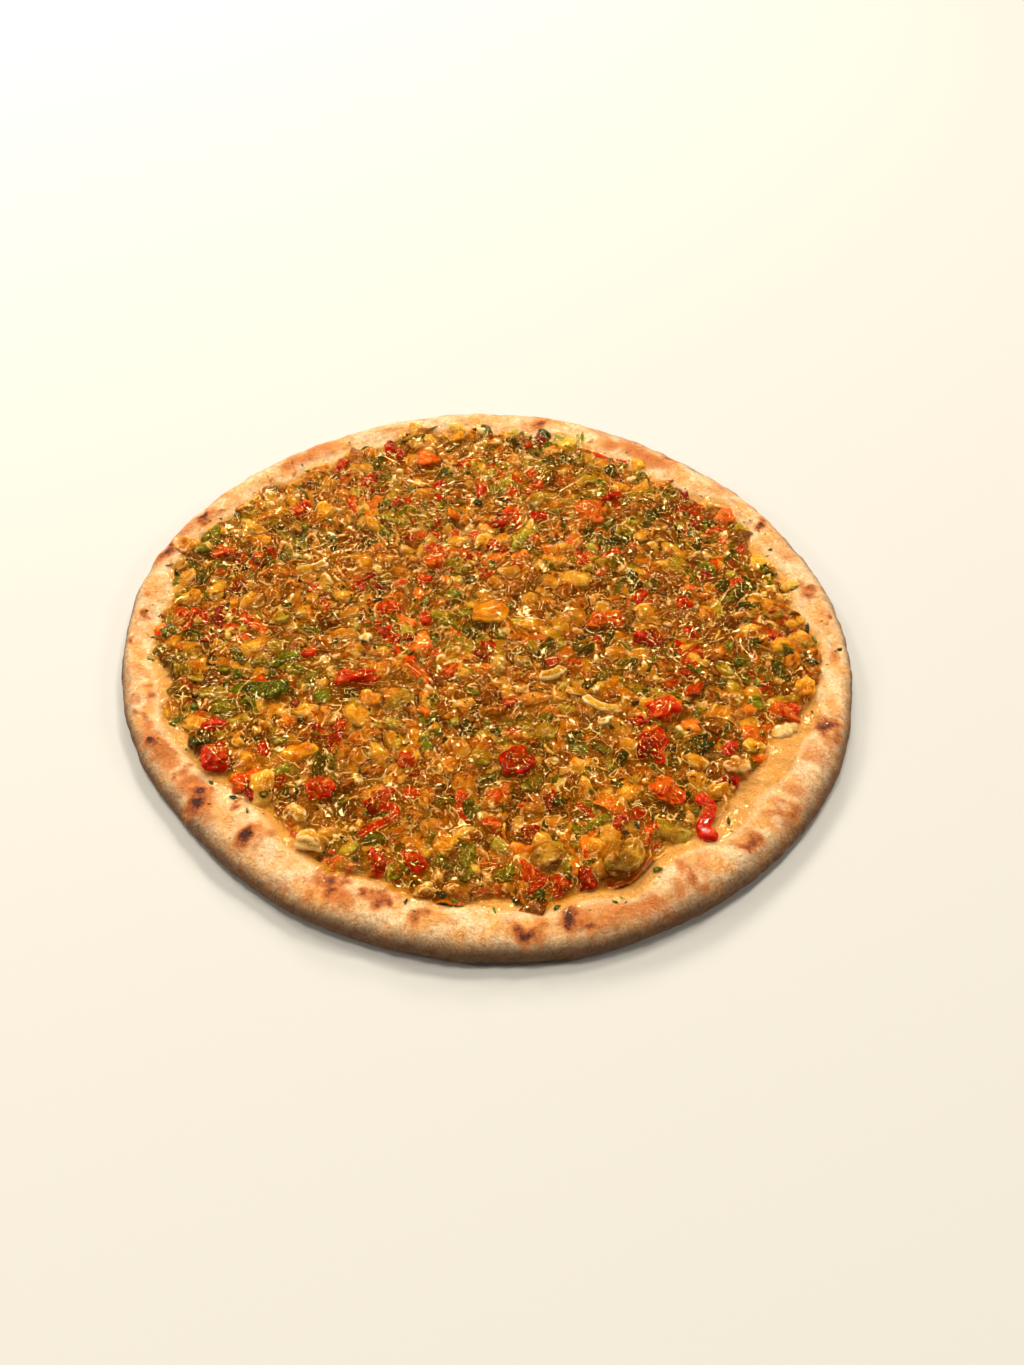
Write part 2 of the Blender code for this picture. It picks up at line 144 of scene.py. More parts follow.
def edgeRadius(angle):
    return bread["edgeRadius"] + waves(angle, bread["edgeWaves"])


def toppingRadius(angle):
    return edgeRadius(angle) - bareWidth(angle)


def rimHeight(angle):
    dip = bread["backDip"] * np.exp(-((degreesFrom(90, angle) / 45) ** 2))
    return bread["rimHeight"] + waves(angle, bread["rimWaves"]) - dip


def smoothStep(low, high, value):
    share = np.clip((value - low) / (high - low), 0, 1)
    return share * share * (3 - 2 * share)


def readTable(table, u, v):
    rows, columns = table.shape
    i, j = np.floor(u).astype(int), np.floor(v).astype(int)
    su, sv = smoothStep(0, 1, u - i), smoothStep(0, 1, v - j)
    near = table[i % rows, j % columns] * (1 - su) + table[(i + 1) % rows, j % columns] * su
    far = table[i % rows, (j + 1) % columns] * (1 - su) + table[(i + 1) % rows, (j + 1) % columns] * su
    return near * (1 - sv) + far * sv


def flatNoise(x, y, size, seed):
    # smooth, from -1 to 1, with lumps about size across
    table = np.random.default_rng(seed).uniform(-1, 1, (97, 97))
    turned = (x * 0.8 - y * 0.6) / size + 41.3, (x * 0.6 + y * 0.8) / size + 23.7
    return readTable(table, *turned)


def ringNoise(angle, along, size, seed):
    # the same on the rim, which it goes round without a seam
    around = max(3, round(math.tau * bread["edgeRadius"] / size))
    table = np.random.default_rng(seed).uniform(-1, 1, (around, 61))
    return readTable(table, angle / math.tau * around, along / size + 7)


def rimTop(x, y):
    radius, angle = np.hypot(x, y), np.arctan2(y, x) % math.tau
    share = (edgeRadius(angle) - radius) / bareWidth(angle)
    shares, heights = zip(*bread["section"][4:])
    seam = (bread["floor"] + bread["slopeRise"]) / bread["rimHeight"]
    return np.interp(share, (*shares, 1.0), (*heights, seam)) * rimHeight(angle)


def insideEdge(x, y):
    return toppingRadius(np.arctan2(y, x) % math.tau) - np.hypot(x, y)


def oilShare(x, y):
    # 1 where the bread is soaked with oil, 0 where it is dry
    away = degreesFrom(oil["wideAt"], np.arctan2(y, x))
    extra = oil["extra"] * np.exp(-((away / oil["spread"]) ** 2))
    return smoothStep(-oil["reach"], 1.0, insideEdge(x, y) + oil["stains"] * flatNoise(x, y, 14, 83) + extra)


def slopeTop(x, y):
    share = np.clip(1 - insideEdge(x, y) / bread["slopeWidth"], 0, 1)
    return bread["floor"] + bread["slopeRise"] * share


def sauceTop(x, y):
    inside = insideEdge(x, y)
    share = np.clip(inside / bread["slopeWidth"], 0, 1)
    places = np.stack([x, y, x * 0], axis=-1).reshape(-1, 3) / topping["rollLength"]
    roll = np.array([noise.noise(Vector(place)) for place in places]).reshape(x.shape)
    thick = topping["edgeThickness"] + (topping["thickness"] - topping["edgeThickness"]) * share
    thick = (topping["gap"] + thick) * smoothStep(*topping["edgeBand"], inside)
    thick = thick + topping["roll"] * roll * share
    return np.where(inside > topping["edgeBand"][0], slopeTop(x, y) + thick, rimTop(x, y))


# Meshes

def newObject(name, data):
    made = bpy.data.objects.new(name, data)
    bpy.context.scene.collection.objects.link(made)
    return made


def newPiece(name, points, faces, finish, masks=None):
    mesh = bpy.data.meshes.new(name)
    mesh.from_pydata(((points + shift) * mm).tolist(), [], faces)
    mesh.materials.append(finish)
    for mask, values in (masks or {}).items():
        values = np.asarray(values, np.float32)
        kind, part = ("FLOAT_COLOR", "color") if values.ndim == 2 else ("FLOAT", "value")
        mesh.attributes.new(mask, kind, "POINT").data.foreach_set(part, values.ravel())
    mesh.shade_smooth()
    return newObject(name, mesh)


def standsFor(piece, slotName, *nodes):
    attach(piece, "root")
    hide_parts(*nodes)


def ringFaces(rings, steps, start=0):
    # quads between rings of steps points each, the later ring lying inwards or above
    first = np.arange(rings - 1)[:, None] * steps + start
    here, there = np.arange(steps)[None, :], (np.arange(steps)[None, :] + 1) % steps
    quads = np.stack([first + here, first + there, first + steps + there, first + steps + here], axis=-1)
    return quads.reshape(-1, 4).tolist()


# Shader and geometry trees

class Wire:  # one output socket, which takes part in sums as a number does
    def __init__(self, graph, socket):
        self.graph, self.socket = graph, socket

    def maths(self, operation, *values):
        return self.graph.node("ShaderNodeMath", {"operation": operation}, dict(enumerate(values)))

    def __add__(self, other):
        return self.maths("ADD", self, other)

    def __sub__(self, other):
        return self.maths("SUBTRACT", self, other)

    def __rsub__(self, other):
        return self.maths("SUBTRACT", other, self)

    def __mul__(self, other):
        return self.maths("MULTIPLY", self, other)

    def __pow__(self, other):
        return self.maths("POWER", self, other)

    def __abs__(self):
        return self.maths("ABSOLUTE", self)

    def between(self, low, high):  # 0 below low, 1 above high and smooth between them
        values = {"Value": self, "From Min": low, "From Max": high}
        return self.graph.node("ShaderNodeMapRange", {"interpolation_type": "SMOOTHSTEP"}, values)

    def other(self, name):
        return Wire(self.graph, self.socket.node.outputs[name])


class Graph:
    def __init__(self, tree):
        self.tree = tree

    def node(self, kind, settings=None, values=None, output=0):
        made = self.tree.nodes.new(kind)
        for key, value in (settings or {}).items():
            if key == "stops":
                ramp = made.color_ramp
                while len(ramp.elements) < len(value):
                    ramp.elements.new(1.0)
                for element, (place, colour) in zip(ramp.elements, value):
                    element.position = place
                    element.color = colour
            else:
                setattr(made, key, value)
        for key, value in (values or {}).items():
            if isinstance(value, Wire):
                self.tree.links.new(value.socket, made.inputs[key])
            else:
                made.inputs[key].default_value = value
        return Wire(self, made.outputs[output]) if len(made.outputs) else made

    def blend(self, share, first, second):  # two shaders
        return self.node("ShaderNodeMixShader", None, {0: share, 1: first, 2: second})


class Finish(Graph):
    def __init__(self, name):
        self.material = bpy.data.materials.new(name)
        self.material.use_nodes = True
        super().__init__(self.material.node_tree)
        self.tree.nodes.clear()
        self.place = self.node("ShaderNodeTexCoord").other("Object")

    def noise(self, size, detail=2.0, roughness=0.5, distortion=0.0):
        values = {"Vector": self.place, "Scale": 1 / (size * mm), "Detail": detail,
                  "Roughness": roughness, "Distortion": distortion}
        return self.node("ShaderNodeTexNoise", None, values)

    def mask(self, name):
        return self.node("ShaderNodeAttribute", {"attribute_name": name}).other("Fac")

    def ramp(self, factor, *stops):
        return self.node("ShaderNodeValToRGB", {"stops": stops}, {"Fac": factor})

    def mix(self, factor, first, second, blend="MIX"):
        settings = {"data_type": "RGBA", "blend_type": blend}
        return self.node("ShaderNodeMix", settings, {0: factor, 6: first, 7: second}, output=2)

    def bump(self, height, depth, strength=1.0, below=None):
        values = {"Height": height, "Distance": depth * mm, "Strength": strength}
        if below:
            values["Normal"] = below
        return self.node("ShaderNodeBump", None, values)

    def shader(self, colour, roughness, relief=None, **more):
        values = {"Base Color": colour, "Roughness": roughness}
        if relief:
            values["Normal"] = relief
        return self.node("ShaderNodeBsdfPrincipled", None, {**values, **more})

    def wetShader(self, colour, relief):
        return self.shader(colour, wet["roughness"], relief, **{
            "Specular IOR Level": wet["specular"], "Subsurface Weight": wet["depth"],
            "Subsurface Radius": wet["reach"], "Subsurface Scale": 1.0})

    def done(self, surface):
        self.node("ShaderNodeOutputMaterial", None, {"Surface": surface})
        return self.material


def rgb(red, green, blue):
    # a colour as a picture shows it, made linear
    parts = [part / 255 for part in (red, green, blue)]
    return (*[part / 12.92 if part <= 0.04045 else ((part + 0.055) / 1.055) ** 2.4 for part in parts], 1.0)


# Bread

crustColours = {
    "cream": rgb(248, 184, 102),
    "pale": rgb(255, 230, 182),
    "golden": rgb(216, 132, 58),
    "brown": rgb(148, 72, 30),
    "dark": rgb(74, 34, 18),
    "flour": rgb(250, 216, 168),
    # side: a painted shade for the lower outer side
    "side": rgb(108, 72, 42),
    "oil": rgb(242, 172, 72),
    "soaked": rgb(255, 240, 188),
    "grain": rgb(222, 168, 114),
}


def makeCrustFinish():
    f = Finish("crust")
    c = crustColours
    browned, golden, oiled, low = (f.mask(name) for name in ("browned", "golden", "oiled", "low"))
    broad = f.noise(9, 3)
    fine = f.noise(1.1, 4, 0.7)
    fibres = f.noise(2.6, 5, 0.75, distortion=1.6)
    fleck = fine * 2.6 + fibres * 1.8 - 2.2
    colour = f.mix(broad.between(0.35, 0.68), c["cream"], c["pale"])
    colour = f.mix((golden + fleck * 0.5).between(0.3, 0.9), colour, c["golden"])
    floury = low.between(0.05, 0.5) * (broad * 0.6 + fibres * 0.9).between(0.5, 0.9)
    colour = f.mix(floury * 0.8, colour, c["flour"])
    # painted shade: the lower outer side is darkened towards side
    colour = f.mix((low + broad * 0.3 - 0.15).between(0.12, 0.8) * 0.9, colour, c["side"])
    soaked = f.ramp(oiled, (0.3, c["soaked"]), (0.85, c["oil"]))
    colour = f.mix((oiled + fleck * 0.15).between(0.1, 0.8) * 0.9, colour, soaked)
    burn = browned + browned * fleck * 0.9 + fleck * 0.08
    colour = f.mix(burn.between(0.12, 0.55) * 0.95, colour, c["golden"])
    colour = f.mix(burn.between(0.5, 1.0) * 0.95, colour, c["brown"])
    colour = f.mix(burn.between(1.05, 1.6), colour, c["dark"])
    grain = f.ramp(fine * 0.3 + fibres * 0.7, (0.36, c["grain"]), (0.56, (1, 1, 1, 1)))
    colour = f.mix(1.0 - oiled * 0.8, colour, grain, "MULTIPLY")
    relief = f.bump(fibres, 1.1, 1.0)
    relief = f.bump(fine, 0.5, 1.0, relief)
    return f.done(f.shader(colour, 0.8 - oiled * 0.45, relief, **{"Specular IOR Level": 0.35}))


def makeCrust():
    steps = bread["angleSteps"]
    angle = np.arange(steps) * math.tau / steps
    edge, bare, high = edgeRadius(angle), bareWidth(angle), rimHeight(angle)
    radii = [edge - share * bare for share, _ in bread["section"]]
    heights = [up * high for _, up in bread["section"]]
    flat = angle * 0 + bread["floor"]
    radii += [edge - bare, edge - bare - bread["slopeWidth"], edge - bare - 2 * bread["slopeWidth"]]
    heights += [flat + bread["slopeRise"], flat, flat]
    # one more point beyond each end, for the curve
    radii, heights = [radii[0] - 6, *radii, radii[-1] - 6], [heights[0], *heights, heights[-1]]
    ringRadii, ringHeights, ringShares = [], [], []
    for k, count in enumerate(bread["sectionSteps"]):
        for share in np.arange(count) / count:
            ringRadii.append(catmullRom(*radii[k:k + 4], share))
            ringHeights.append(catmullRom(*heights[k:k + 4], share))
            ringShares.append(k + share)
    radius, height, place = np.array(ringRadii), np.array(ringHeights), np.array(ringShares)[:, None]
    height = np.maximum(height, 0)
    steep = (np.diff(part.mean(1), prepend=part.mean(1)[0]) for part in (radius, height))
    along = np.cumsum(np.hypot(*steep))
    around = np.broadcast_to(angle, radius.shape)
    along = np.broadcast_to(along[:, None], radius.shape)
    out, up = np.gradient(height, axis=0), -np.gradient(radius, axis=0)
    length = np.hypot(out, up) + 1e-9
    free, nearEdge = (smoothStep(start, full, place) * (1 - smoothStep(wane, gone, place))
                      for start, full, wane, gone in (bread["unevenBand"], bread["goldenBand"]))
    rough = sum(tall * ringNoise(around, along, size, 30 + k)
                for k, (size, tall) in enumerate(bread["lumps"]))
    creases = ringNoise(around, along * 2.3, 5.0, 61)  # short folds that run round the rim
    warpX, warpY = (2.6 * ringNoise(around, along, 6, seed) + 1.5 * ringNoise(around, along, 2.2, seed + 1)
                    for seed in (91, 93))
    patchy = 1.0 + 0.8 * ringNoise(around, along, 3.4, 97)
    rough = rough - 0.22 * smoothStep(0.35, 0.8, creases)
    warpX, warpY = radius * np.cos(around) + warpX, radius * np.sin(around) + warpY
    top = smoothStep(*bread["blisterBand"], place)
    browned = np.zeros_like(warpX)

    def awayFrom(turn, inward, width):  # 0 in the middle of a blister and 1 at its ragged edge
        reach = float(edgeRadius(np.array(turn))) - inward
        return np.hypot(warpX - reach * math.cos(turn), warpY - reach * math.sin(turn)) / (width / 2)

    for degrees, inward, width, tall, burn in bread["blisters"]:
        away = awayFrom(math.radians(degrees), inward, width)
        rough = rough + top * tall * np.exp(-away**2) - top * 0.35 * tall * np.exp(-(away / 0.45) ** 2)
        browned += burn * (0.75 * np.exp(-(away**2)) + 0.5 * np.exp(-((away / 0.5) ** 2)))
    draw = np.random.default_rng(5)
    for _ in range(bread["smallBlisters"]):  # some are pale bumps
        turn, inward = draw.uniform(0, math.tau), draw.uniform(3, 15)
        width, burn = draw.uniform(1.6, 4.6), draw.uniform(-0.35, 0.6)
        away = awayFrom(turn, inward, width)
        rough = rough + top * 0.28 * np.exp(-away**2)
        browned += max(0, burn) * np.exp(-away**2)
    radius = radius + free * rough * out / length
    height = np.maximum(height + free * rough * up / length, 0.0)
    x, y = radius * np.cos(around), radius * np.sin(around)
    points = np.stack([x, y, height], axis=-1).reshape(-1, 3)
    rings = len(radius)
    faces = ringFaces(rings, steps)
    # the rest of the top under the topping, and the flat underside
    base = np.stack([np.cos(angle), np.sin(angle), angle * 0], axis=-1)
    under = [base * radius[0][:, None] * share for share in (0.93, 0.75, 0.5, 0.25)]
    over = [base * (radius[-1] * share)[:, None] + (0, 0, bread["floor"]) for share in (0.8, 0.5, 0.25)]
    points = np.concatenate([points, *over, *under, [(0, 0, bread["floor"]), (0, 0, 0)]])
    overStart, underStart = rings * steps, (rings + 3) * steps
    faces += ringFaces(4, steps, (rings - 1) * steps)
    ring = [(k, (k + 1) % steps) for k in range(steps)]
    lower = [0, *(underStart + k * steps for k in range(4))]
    for outer, inner in zip(lower, lower[1:]):
        faces += [(outer + a, inner + a, inner + b, outer + b) for a, b in ring]
    middle, bottom = len(points) - 2, len(points) - 1
    faces += [(overStart + 2 * steps + a, overStart + 2 * steps + b, middle) for a, b in ring]
    faces += [(underStart + 3 * steps + b, underStart + 3 * steps + a, bottom) for a, b in ring]
    patches = ringNoise(around, along, 18, 81) * 0.6 + ringNoise(around, along, 6, 82) * 0.5
    golden = np.clip(0.26 + patches + 0.15 * nearEdge, 0, 1) * (0.3 + 0.7 * nearEdge)
    oiled = oilShare(x, y)
    # low is 1 on the lower outer side and underneath, for flour and the painted shade
    low = np.broadcast_to(1 - smoothStep(*bread["sideBand"], place), x.shape)
    rest = np.zeros(7 * steps + 2)
    bare = {"browned": browned * patchy * 1.2, "golden": golden, "oiled": oiled, "low": low}
    masks = {name: np.concatenate([values.ravel(), rest]) for name, values in bare.items()}
    masks["low"][rings * steps + 3 * steps:] = 1
    return newPiece("crust", points, faces, makeCrustFinish(), masks)


crust = makeCrust()
print("crust:", len(crust.data.polygons), "faces")


# The large bits. Each one's place comes from its solid.

largeRows = (  # slot and shape, then the length, width, turn in degrees and tone of each bit
    ("tomato", "lump",
     (14, 12, 20, -0.05), (10, 8, 60, -0.05), (17, 9, 10, 0), (14, 13, 60, -0.15), (11, 15, 25, 0.25),
     (12, 16, -10, 0), (15, 11, 30, 0.1), (13, 9, -20, -0.1), (14, 12, 40, 0.35), (12, 14, 15, 0.45),
     (13, 10, 35, 0.15), (12, 8, -10, 0.2), (14, 8, 5, 0.3), (11, 8, 30, 0.45), (11, 10, 0, 0.1)),
    ("green_pepper", "lump", (17, 9, 12, -0.25), (12, 7, 80, 0.3)),
    ("red_pepper", "hook", (20, 4.4, 35, 0)),
    ("red_pepper", "ribbon", (19, 5.4, -68, 0)),
    ("onion", "slice", (15, 6, -28, 0), (11, 7, 25, 0)),
    ("garlic", "nub", (11, 9, 20, -0.2), (9, 8, 80, 0.3)),
    ("yellow_pepper", "cube", (14, 13, 10, 0)),
    ("mince", "clump", (15, 14, 30, 0), (12, 9, 15, 0.1), (12, 8, -15, 0.45)),
)
largeBits = {}
for slotName, shape, *rows in largeRows:
    for row in rows:
        number = 1 + sum(name.rsplit("_", 1)[0] == slotName for name in largeBits)
        largeBits[f"{slotName}_{number}"] = (slotName, shape, *row)

wet = {"roughness": 0.08, "specular": 0.25, "depth": 0.25, "reach": (0.0016, 0.0007, 0.0002)}

bitColours = {
    "tomato": ((84, 0, 0), (168, 6, 0), (210, 30, 0), (238, 110, 16)),
    "red_pepper": ((96, 0, 0), (180, 4, 0), (214, 18, 0), (236, 84, 8)),
    "green_pepper": ((40, 54, 2), (78, 104, 4), (112, 136, 12), (172, 160, 44)),
    "yellow_pepper": ((206, 98, 0), (236, 146, 4), (250, 182, 22), (255, 222, 112)),
    "onion": ((196, 140, 44), (228, 184, 92), (244, 214, 140), (254, 238, 194)),
    "garlic": ((196, 122, 48), (230, 178, 100), (246, 210, 146), (255, 234, 190)),
    "mince": ((92, 62, 4), (142, 104, 22), (190, 140, 56), (232, 188, 112)),
}


def makeWetFinish(name, colours, tones=False, marble=4.5, grain=0.05):
    f = Finish(name)
    broad = f.noise(marble, 3, 0.6, distortion=0.8)
    fine = f.noise(0.9, 3, 0.6)
    share = broad * 1.5 + fine * 0.25 - 0.375
    if tones:  # more contrast, and patches of neighbours that are alike
        share = share * 1.1 + f.noise(19, 1) * 1.1 - 1.1
    share = share + f.mask("tone")  # each bit has its own tone
    stops = [(0.12 + 0.76 * k / (len(colours) - 1), rgb(*colour)) for k, colour in enumerate(colours)]
    colour = f.ramp(share, *stops)
    relief = f.bump(broad, 0.7, 0.6)
    relief = f.bump(fine, grain, 0.5, relief)
    return f.done(f.wetShader(colour, relief))


bitFinishes = {name: makeWetFinish(name + "Flesh", colours) for name, colours in bitColours.items()}


def takenApart(bm):
    points = np.array([vert.co for vert in bm.verts])
    faces = [[vert.index for vert in face.verts] for face in bm.faces]
    bm.free()
    return points, faces


def ball(detail, radius=1):
    bm = bmesh.new()
    bmesh.ops.create_icosphere(bm, subdivisions=detail, radius=radius)
    return takenApart(bm)


def roughened(points, seed, *layers):
    # how far out each point goes, from layers of (lumps per unit, height)
    offset = Vector((seed * 7.31, seed * 3.17, seed * 1.73))
    return np.array([1 + sum(tall * noise.noise(Vector(point) * often + offset) for often, tall in layers)
                     for point in points])


def boxed(points, power):  # 2 gives a ball, and more a cube with rounder or sharper edges
    return (np.abs(points) ** power).sum(1) ** (-1 / power)


def sized(points, out, length, width, height):
    return points * out[:, None] * (length / 2, width / 2, height / 2)


def makeLump(length, width, height, seed, detail=4):
    points, faces = ball(detail)
    out = roughened(points, seed, (1.1, 0.5), (2.4, 0.16))
    folds = np.abs(roughened(points, seed + 50, (1.2, 1.0)) - 1)
    out -= 0.28 * np.clip(1 - folds / 0.14, 0, 1) ** 1.5 * smoothStep(-0.5, 0.1, points[:, 2])
    return sized(points, boxed(points, 2.8) * out, length, width, height), faces


def makeCube(length, width, height, seed, detail=4):
    points, faces = ball(detail)
    out = roughened(points, seed, (1.2, 0.3), (3.0, 0.07))
    return sized(points, boxed(points, 3.2) * out, length, width, height), faces


def makeClump(length, width, height, seed, detail=4):
    # small rounded lumps that have cooked together
    points, faces = ball(detail)
    middles = np.random.default_rng(seed).normal(size=(26, 3))
    middles /= np.linalg.norm(middles, axis=1)[:, None]
    away = np.linalg.norm(points[:, None] - middles[None], axis=2).min(1)
    out = 0.74 + 0.36 * np.sqrt(np.clip(1 - (away / 0.55) ** 2, 0, 1))
    out = roughened(points, seed, (1.2, 0.35)) * out
    return sized(points, out, length, width, height), faces


def makeNub(length, width, height, seed, detail=4):
    # two or three lobes with creases between them
    points, faces = ball(detail)
    crease = 0.3 * np.exp(-((points[:, 0] + 0.15) / 0.16) ** 2)
    crease += 0.2 * np.exp(-((points[:, 0] - 0.5) / 0.13) ** 2)
    out = roughened(points, seed, (1.6, 0.3), (4.0, 0.1), (12.0, 0.03)) - crease * (points[:, 2] > -0.4)
    return sized(points, out, length, width, height), faces


def makeBar(length, width, height, path, seed, sections=44, corners=14):
    # a rounded band along path, which gives the middle and the turn at a share of its length
    points = []
    for k in range(sections + 1):
        share = k / sections
        middle, turn = path(share)
        end = min(1.0, math.sin(math.pi * (0.03 + 0.94 * share)) * 2.4) ** 0.6
        for corner in range(corners):
            angle = math.tau * corner / corners
            across, up = math.cos(angle), math.sin(angle)
            square = (abs(across) ** 4 + abs(up) ** 4) ** -0.25
            wave = 1 + 0.09 * noise.noise(Vector((share * 9, angle, seed * 2.0)))
            side = across * square * width / 2 * end * wave
            points.append((middle[0] - math.sin(turn) * side, middle[1] + math.cos(turn) * side,
                           middle[2] + up * square * height / 2 * end * wave))
    points = np.array(points)
    faces = ringFaces(sections + 1, corners)
    faces.append(list(range(corners))[::-1])
    faces.append([sections * corners + k for k in range(corners)])
    return points, faces


def makeRibbon(length, width, height, seed):
    def path(share):
        along = (share - 0.5) * length * 0.9
        sway = width * 0.6
        turn = math.atan2(sway * math.tau * math.cos(math.tau * share), length * 0.9)
        return (along, sway * math.sin(math.tau * share), 0.12 * height * math.cos(math.tau * share)), turn
    return makeBar(length, width, height * 0.72, path, seed)


def makeHook(length, width, height, seed):
    # a straight strip whose far end curls back
    curl = length * 0.15

    def path(share):
        if share < 0.6:
            return (length * (share / 0.6 * 0.78 - 0.5), -curl, 0.0), 0.0
        turn = (share - 0.6) / 0.4 * 3.7
        along, up = length * 0.28 + curl * math.sin(turn), 0.25 * height * math.sin(turn / 2)
        return (along, -curl * math.cos(turn), up), turn
    return makeBar(length, width, height * 0.75, path, seed)


def makeSlice(length, width, height, seed):
    radius = length / (2 * math.sin(0.75))

    def path(share):
        turn = (share - 0.5) * 1.5
        side = radius * (1 - math.cos(turn)) - width * 0.15
        return (radius * math.sin(turn), side, 0.1 * height * math.sin(math.pi * share)), turn
    return makeBar(length, width * 0.66, height * 0.8, path, seed)


bitShapes = {"lump": makeLump, "cube": makeCube, "clump": makeClump, "nub": makeNub,
             "ribbon": makeRibbon, "hook": makeHook, "slice": makeSlice}


def turned(points, degrees):
    turn = math.radians(degrees)
    x, y, z = points.T
    cosine, sine = math.cos(turn), math.sin(turn)
    return np.stack([x * cosine - y * sine, x * sine + y * cosine, z], axis=-1)


def solidBox(name):
    return (np.array(corner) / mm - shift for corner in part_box(name))


largePieces = []
for seed, (name, (slotName, shape, length, width, turn, tone)) in enumerate(largeBits.items()):
    low, high = solidBox(name)
    points, faces = bitShapes[shape](length, width, 8, seed)
    points = turned(points, turn)
    foot = low - (0, 0, 1.2)  # sinks into the sauce
    size = (high - foot) / (points.max(0) - points.min(0))
    points = (points - points.min(0)) * size + foot
    tones = np.full(len(points), tone)
    piece = newPiece(name + "_bit", points, faces, bitFinishes[slotName], {"tone": tones})
    standsFor(piece, slotName, name)
    largePieces.append(piece)
print("large bits:", len(largePieces))


# The grid that the wet parts are worked out on

cell, gridReach = 0.55, 140.0
cells = int(2 * gridReach / cell)
gridLine = (np.arange(cells) + 0.5) * cell - gridReach
gridX, gridY = np.meshgrid(gridLine, gridLine, indexing="ij")
gridInside = insideEdge(gridX, gridY)
ragged = 3.0 * flatNoise(gridX, gridY, 9, 3) + 1.8 * flatNoise(gridX, gridY, 4, 4)
ground = sauceTop(gridX, gridY)


def cellOf(x, y):
    i, j = int((x + gridReach) / cell), int((y + gridReach) / cell)
    return min(max(i, 0), cells - 1), min(max(j, 0), cells - 1)


def blurred(field, sigma):
    reach = int(math.ceil(3 * sigma))
    weights = np.exp(-0.5 * (np.arange(-reach, reach + 1) / sigma) ** 2)
    weights /= weights.sum()
    for axis in (0, 1):
        pad = [(reach, reach) if k == axis else (0, 0) for k in (0, 1)]
        wide = np.pad(field, pad, mode="edge")
        size = field.shape[axis]
        field = sum(w * np.take(wide, range(k, k + size), axis) for k, w in enumerate(weights))
    return field


def gridSheet(keep):
    # quads between the points that are kept
    index = np.full(keep.shape, -1)
    index[keep] = np.arange(keep.sum())
    a, b, c, d = index[:-1, :-1], index[1:, :-1], index[1:, 1:], index[:-1, 1:]
    whole = (a >= 0) & (b >= 0) & (c >= 0) & (d >= 0)
    return np.stack([a[whole], b[whole], c[whole], d[whole]], axis=-1).tolist()


def roundLarge(x, y, low=0.5, high=0.9):
    # 0 on the large bits and 1 clear of them
    clear = np.ones_like(x)
    for name in largeBits:
        least, most = solidBox(name)
        middle, half = (least + most) / 2, (most - least) / 2
        clear *= smoothStep(low, high, np.hypot((x - middle[0]) / half[0], (y - middle[1]) / half[1]))
    return clear


# The mash: the cooked core of the topping, where soft lumps of every colour have sunk together

mash = {
    "lumps": 7000,
    "within": 128,  # the radius that the lumps are drawn in
    "sink": 1.5,
    "edgeSink": 0.5,
    "soft": 0.32,
    "paintSoft": 0.3,
    "tallest": 2.3,
    "grouping": 2.8,  # how much lumps of a kind keep together, in patches of this size
    "groupSize": 15,
    "seed": 31,
    # the sauce colour shows between the lumps, made darker as painted shade in the gaps
    "sauceAndShade": rgb(84, 36, 0),
    "edge": rgb(240, 182, 76),  # where the sauce thins out over the bread
    # how common, colour, least and most length
    "kinds": (
        (0.20, rgb(190, 106, 0), 3.5, 8.5), (0.17, rgb(216, 136, 4), 3.0, 8.0),
        (0.10, rgb(236, 172, 26), 3.0, 6.5), (0.18, rgb(222, 84, 0), 3.0, 8.0),
        (0.09, rgb(192, 24, 0), 3.0, 7.0), (0.11, rgb(112, 92, 0), 3.5, 8.5),
        (0.08, rgb(152, 134, 12), 3.0, 7.0), (0.07, rgb(176, 108, 36), 3.0, 7.0),
        (0.03, rgb(240, 200, 120), 2.6, 5.0), (0.05, rgb(54, 62, 0), 2.5, 6.0),
    ),
}


